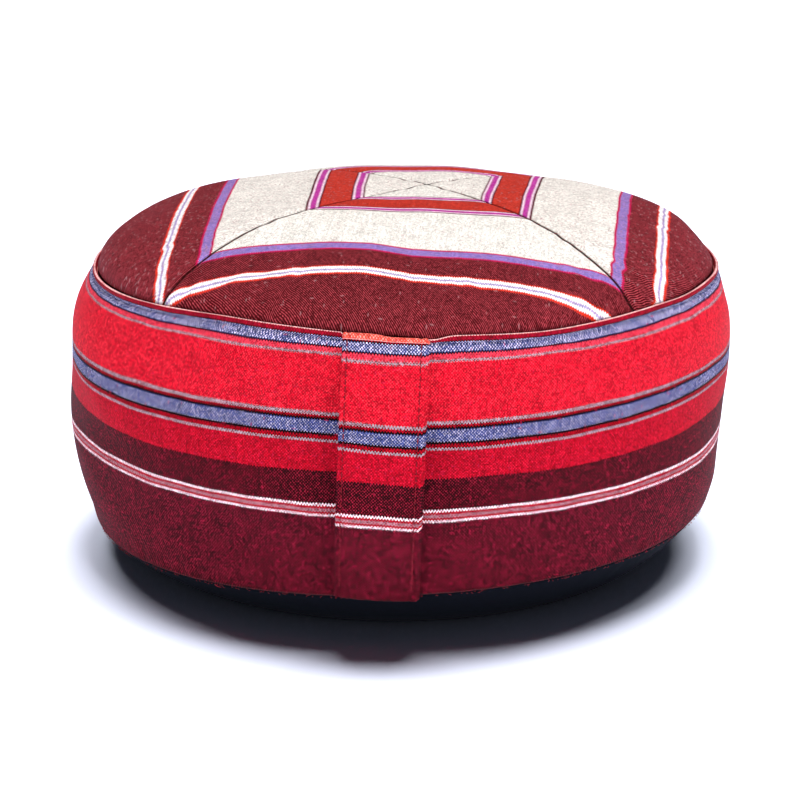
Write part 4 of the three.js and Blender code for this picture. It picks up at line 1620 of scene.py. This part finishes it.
# The two low softboxes stand to the left and right in front: place, aim and size, in metres
SOFTBOX_SIDE, SOFTBOX_FRONT, SOFTBOX_HEIGHT = 1.2, -1.4, 0.3
SOFTBOX_AIM = (0, 0, 0.1)
SOFTBOX_SIZE = (1.2, 0.4)

SENSOR_WIDTH = 36.0


def build_camera(stage):
    """The camera, in front of its target and looking down at it."""
    camera_data = bpy.data.cameras.new("studio_camera")
    camera_data.lens = stage.lens
    camera_data.sensor_width = SENSOR_WIDTH
    camera_data.clip_start, camera_data.clip_end = 0.01, 50.0
    camera = bpy.data.objects.new("studio_camera", camera_data)
    back = Vector((0, -math.cos(stage.elevation), math.sin(stage.elevation)))
    camera.location = Vector(stage.target) + back * stage.distance
    camera.rotation_euler = (math.pi / 2 - stage.elevation, 0, 0)
    bpy.context.scene.collection.objects.link(camera)
    bpy.context.scene.camera = camera


def lamp_object(lamp_data, place, toward, lit):
    """A lamp at a place, shining toward another, whose light reaches only the objects in lit."""
    lamp = bpy.data.objects.new(lamp_data.name, lamp_data)
    lamp.location = place
    away = Vector(toward) - Vector(place)
    lamp.rotation_euler = away.to_track_quat("-Z", "Y").to_euler()
    lamp.light_linking.receiver_collection = lit
    bpy.context.scene.collection.objects.link(lamp)


def build_softbox(name, side, watts, lit):
    """A low softbox at the left (-1) or right (1)."""
    lamp_data = bpy.data.lights.new(name, "AREA")
    lamp_data.shape = "RECTANGLE"
    lamp_data.size, lamp_data.size_y = SOFTBOX_SIZE
    lamp_data.energy = watts
    place = (side * SOFTBOX_SIDE, SOFTBOX_FRONT, SOFTBOX_HEIGHT)
    lamp_object(lamp_data, place, SOFTBOX_AIM, lit)


def build_bank(name, slopes, spread, strength, lit):
    """A bank of lights high over the cushion, its direction given as slopes along X and Y."""
    bank_data = bpy.data.lights.new(name, "SUN")
    bank_data.energy = strength
    bank_data.angle = spread
    lamp_object(bank_data, (*slopes, 1.0), (0, 0, 0), lit)


def build_room(strength):
    """A white room that the camera sees as it is, and whose light on the pieces is set apart."""
    world = bpy.data.worlds.new("white_studio")
    bpy.context.scene.world = world
    world.use_nodes = True
    tree = world.node_tree
    tree.nodes.clear()
    seen = add_node(tree, "ShaderNodeLightPath", [])
    level = add_node(tree, "ShaderNodeMapRange", [seen, 0.0, 1.0, strength, 1.0])
    light = add_node(tree, "ShaderNodeBackground", [opaque(linear(PAPER_COLOUR)), level])
    add_node(tree, "ShaderNodeOutputWorld", [light])


# Banks over the paper: name, slopes to the right and behind, and share of the strength. Their
# light is brighter than the paper can show, so only the cushion's shadow stands out on it.
PAPER_BANKS = [
    ("paper_bank_middle", 0.05, 0.145, 0.52),
    ("paper_bank_left", -0.34, 0.44, 0.24),
    ("paper_bank_right", 0.44, 0.44, 0.24),
]
PAPER_BANK_SPREAD = math.radians(22)


def build_paper():
    """The floor: one large sheet of paper."""
    corners = [(x * PAPER_HALF, y * PAPER_HALF, 0) for x, y in ((-1, -1), (1, -1), (1, 1), (-1, 1))]
    mesh = bpy.data.meshes.new("studio_floor")
    mesh.from_pydata(corners, [], [(0, 1, 2, 3)])
    mesh.materials.append(studio_paper("matt_white_paper", linear(PAPER_COLOUR)))
    floor = bpy.data.objects.new("studio_floor", mesh)
    bpy.context.scene.collection.objects.link(floor)
    floor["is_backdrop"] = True
    return floor


def build_stage(stage):
    """The room, the paper, and lights of their own for the pieces and for the paper."""
    scene = bpy.context.scene
    scene.view_settings.view_transform = "Standard"
    build_room(stage.fill)
    pieces = bpy.data.collections.new("pieces")
    for made in scene.objects:
        if made.type == "MESH":
            pieces.objects.link(made)
    paper = bpy.data.collections.new("paper")
    paper.objects.link(build_paper())

    build_bank("overhead_bank", stage.key_slopes, stage.key_spread, stage.key, pieces)
    for name, right, behind, share in PAPER_BANKS:
        build_bank(name, (right, behind), PAPER_BANK_SPREAD, share * stage.paper, paper)
    build_softbox("left_softbox", -1, stage.left, pieces)
    build_softbox("right_softbox", 1, stage.right, pieces)
    build_camera(stage)


# The add-on


def colour_setting(name, hex_colour, description):
    """A colour that a user can change, its default given in sRGB."""
    return bpy.props.FloatVectorProperty(name=name, description=description, subtype="COLOR",
                                         size=3, min=0.0, max=1.0, default=linear(hex_colour))


class CushionSizes(bpy.types.PropertyGroup):
    """Sizes of the sewing and of the filling's swell, in millimetres."""

    pucker: bpy.props.FloatProperty(
        name="Pucker depth", description="Depth of the small puckers along the seams, in mm",
        default=0.34, min=0.0, max=1.5)
    swell_cap: bpy.props.FloatProperty(
        name="Swell cap", description="Most that a point may move in the cloth simulation, in mm",
        default=9.0, min=1.0, max=20.0)
    swell_most: bpy.props.FloatProperty(
        name="Swell left", description="Most unevenness that the filling leaves, in mm",
        default=1.3, min=0.0, max=4.0)
    stitch_pitch: bpy.props.FloatProperty(
        name="Stitch pitch", description="Length of a topstitch with its gap, in mm",
        default=3.4, min=1.5, max=8.0)
    thread: bpy.props.FloatProperty(
        name="Thread", description="Diameter of the topstitching thread, in mm",
        default=0.55, min=0.2, max=1.5)


class CushionColours(bpy.types.PropertyGroup):
    """Colours of the yarns and threads."""

    red: colour_setting("Red", "#C60420", "Wide stripe of the side band")
    coral: colour_setting("Coral", "#F5483A", "Narrow stripe and turned edge at the top seam")
    blue: colour_setting("Blue", "#343E74", "Two narrow stripes of the side band")
    maroon: colour_setting("Maroon", "#220004", "Lower part of the side band")
    white: colour_setting("White", "#F6E6E8", "Two thin lines of the side band")
    cream: colour_setting("Cream", "#FBF8EF", "Wide stripe and middle of the top panels")
    rust: colour_setting("Rust", "#B42C20", "Inner stripe of the top panels")
    magenta: colour_setting("Magenta", "#B01888", "Lines beside the rust stripe")
    lilac: colour_setting("Lilac blue", "#7A6CBC", "Outer lines of the top panels")
    crown_maroon: colour_setting("Top maroon", "#46040A", "Outer part of the top panels")
    navy: colour_setting("Navy", "#04050A", "Base panel")
    thread: colour_setting("Thread", "#7C0A1C", "Topstitching and seams")


class CushionStage(bpy.types.PropertyGroup):
    """Camera and light of the studio."""

    target: bpy.props.FloatVectorProperty(
        name="Target", description="Point that the camera looks at", subtype="XYZ",
        unit="LENGTH", default=(0.00082, 0.0, 0.07099))
    distance: bpy.props.FloatProperty(
        name="Distance", description="From the camera to its target", unit="LENGTH",
        default=1.316, min=0.2, max=10.0)
    elevation: bpy.props.FloatProperty(
        name="Elevation", description="Angle of the camera above the floor", subtype="ANGLE",
        unit="ROTATION", default=math.radians(16.93))
    lens: bpy.props.FloatProperty(
        name="Lens", description="Focal length in mm on a sensor 36 mm wide", default=116.1,
        min=20.0, max=300.0)
    key: bpy.props.FloatProperty(
        name="Overhead light", description="Strength of the bank of lights overhead",
        default=3.6, min=0.0, max=20.0)
    key_spread: bpy.props.FloatProperty(
        name="Overhead spread", description="How wide the bank looks from the floor",
        subtype="ANGLE", unit="ROTATION", default=math.radians(20))
    key_slopes: bpy.props.FloatVectorProperty(
        name="Overhead slopes", description="How far the bank stands to the right and behind, "
        "as a share of its height", size=2, default=(0.1, -0.08))
    paper: bpy.props.FloatProperty(
        name="Paper light", description="Strength of the banks over the paper", default=8.0,
        min=0.0, max=40.0)
    left: bpy.props.FloatProperty(
        name="Left softbox", description="Power of the low softbox at the left, in watts",
        default=11.5, min=0.0, max=300.0)
    right: bpy.props.FloatProperty(
        name="Right softbox", description="Power of the low softbox at the right, in watts",
        default=14.5, min=0.0, max=300.0)
    fill: bpy.props.FloatProperty(
        name="Fill", description="Strength of the light from the white room", default=0.05,
        min=0.0, max=5.0)


class CUSHION_OT_filled_body(bpy.types.Operator):
    """Build the filled body, whose wall is the striped side band"""

    bl_idname = "cushion.filled_body"
    bl_label = "Filled Body and Side Band"

    def execute(self, context):
        build_body(context.scene.cushion_sizes, context.scene.cushion_colours)
        return {"FINISHED"}


class CUSHION_OT_top_panels(bpy.types.Operator):
    """Build the four mitred top panels and the stitches in their seams"""

    bl_idname = "cushion.top_panels"
    bl_label = "Top Panels"

    def execute(self, context):
        build_top_panels(context.scene.cushion_sizes, context.scene.cushion_colours)
        build_seam_stitching(context.scene.cushion_sizes, context.scene.cushion_colours)
        return {"FINISHED"}


class CUSHION_OT_base_panel(bpy.types.Operator):
    """Build the base panel and the loose fibres along its seam"""

    bl_idname = "cushion.base_panel"
    bl_label = "Base Panel"

    def execute(self, context):
        build_base(context.scene.cushion_sizes, context.scene.cushion_colours)
        build_seam_fibres()
        return {"FINISHED"}


class CUSHION_OT_carry_strap(bpy.types.Operator):
    """Build the folded carrying strap and its topstitching"""

    bl_idname = "cushion.carry_strap"
    bl_label = "Carrying Strap"

    def execute(self, context):
        build_strap(context.scene.cushion_sizes, context.scene.cushion_colours)
        return {"FINISHED"}


class CUSHION_OT_stage(bpy.types.Operator):
    """Set the floor, the lights and the camera"""

    bl_idname = "cushion.stage"
    bl_label = "Studio Stage"

    def execute(self, context):
        build_stage(context.scene.cushion_stage)
        return {"FINISHED"}


class CUSHION_PT_sidebar(bpy.types.Panel):
    """Settings and operators of the cushion"""

    bl_idname = "CUSHION_PT_sidebar"
    bl_label = "Meditation Cushion"
    bl_space_type = "VIEW_3D"
    bl_region_type = "UI"
    bl_category = "Cushion"

    def draw(self, context):
        for title, settings in (("Sizes", context.scene.cushion_sizes),
                                ("Colours", context.scene.cushion_colours),
                                ("Stage", context.scene.cushion_stage)):
            box = self.layout.box()
            box.label(text=title)
            for name in settings.__annotations__:
                box.prop(settings, name)
        for operator in OPERATORS:
            self.layout.operator(operator.bl_idname)


GROUPS = {
    "cushion_sizes": CushionSizes,
    "cushion_colours": CushionColours,
    "cushion_stage": CushionStage,
}
OPERATORS = [
    CUSHION_OT_filled_body,
    CUSHION_OT_top_panels,
    CUSHION_OT_base_panel,
    CUSHION_OT_carry_strap,
    CUSHION_OT_stage,
]
CLASSES = [*GROUPS.values(), *OPERATORS, CUSHION_PT_sidebar]


def register():
    for item in CLASSES:
        bpy.utils.register_class(item)
    for name, group in GROUPS.items():
        setattr(bpy.types.Scene, name, bpy.props.PointerProperty(type=group))


def unregister():
    for name in GROUPS:
        delattr(bpy.types.Scene, name)
    for item in reversed(CLASSES):
        bpy.utils.unregister_class(item)


def write_sizes():
    """Work out the boxes of the CAD model and of the finished one, in metres, which are not kept.
    """
    boxes = {"cad": CAD_BOX, "visual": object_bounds()}
    {key: [list(corner) for corner in box] for key, box in boxes.items()}


def main():
    """Build every piece and the stage, in order."""
    register()
    bpy.ops.cushion.filled_body()
    bpy.ops.cushion.top_panels()
    bpy.ops.cushion.base_panel()
    bpy.ops.cushion.carry_strap()
    bpy.ops.cushion.stage()
    write_sizes()


if __name__ == "__main__":
    main()
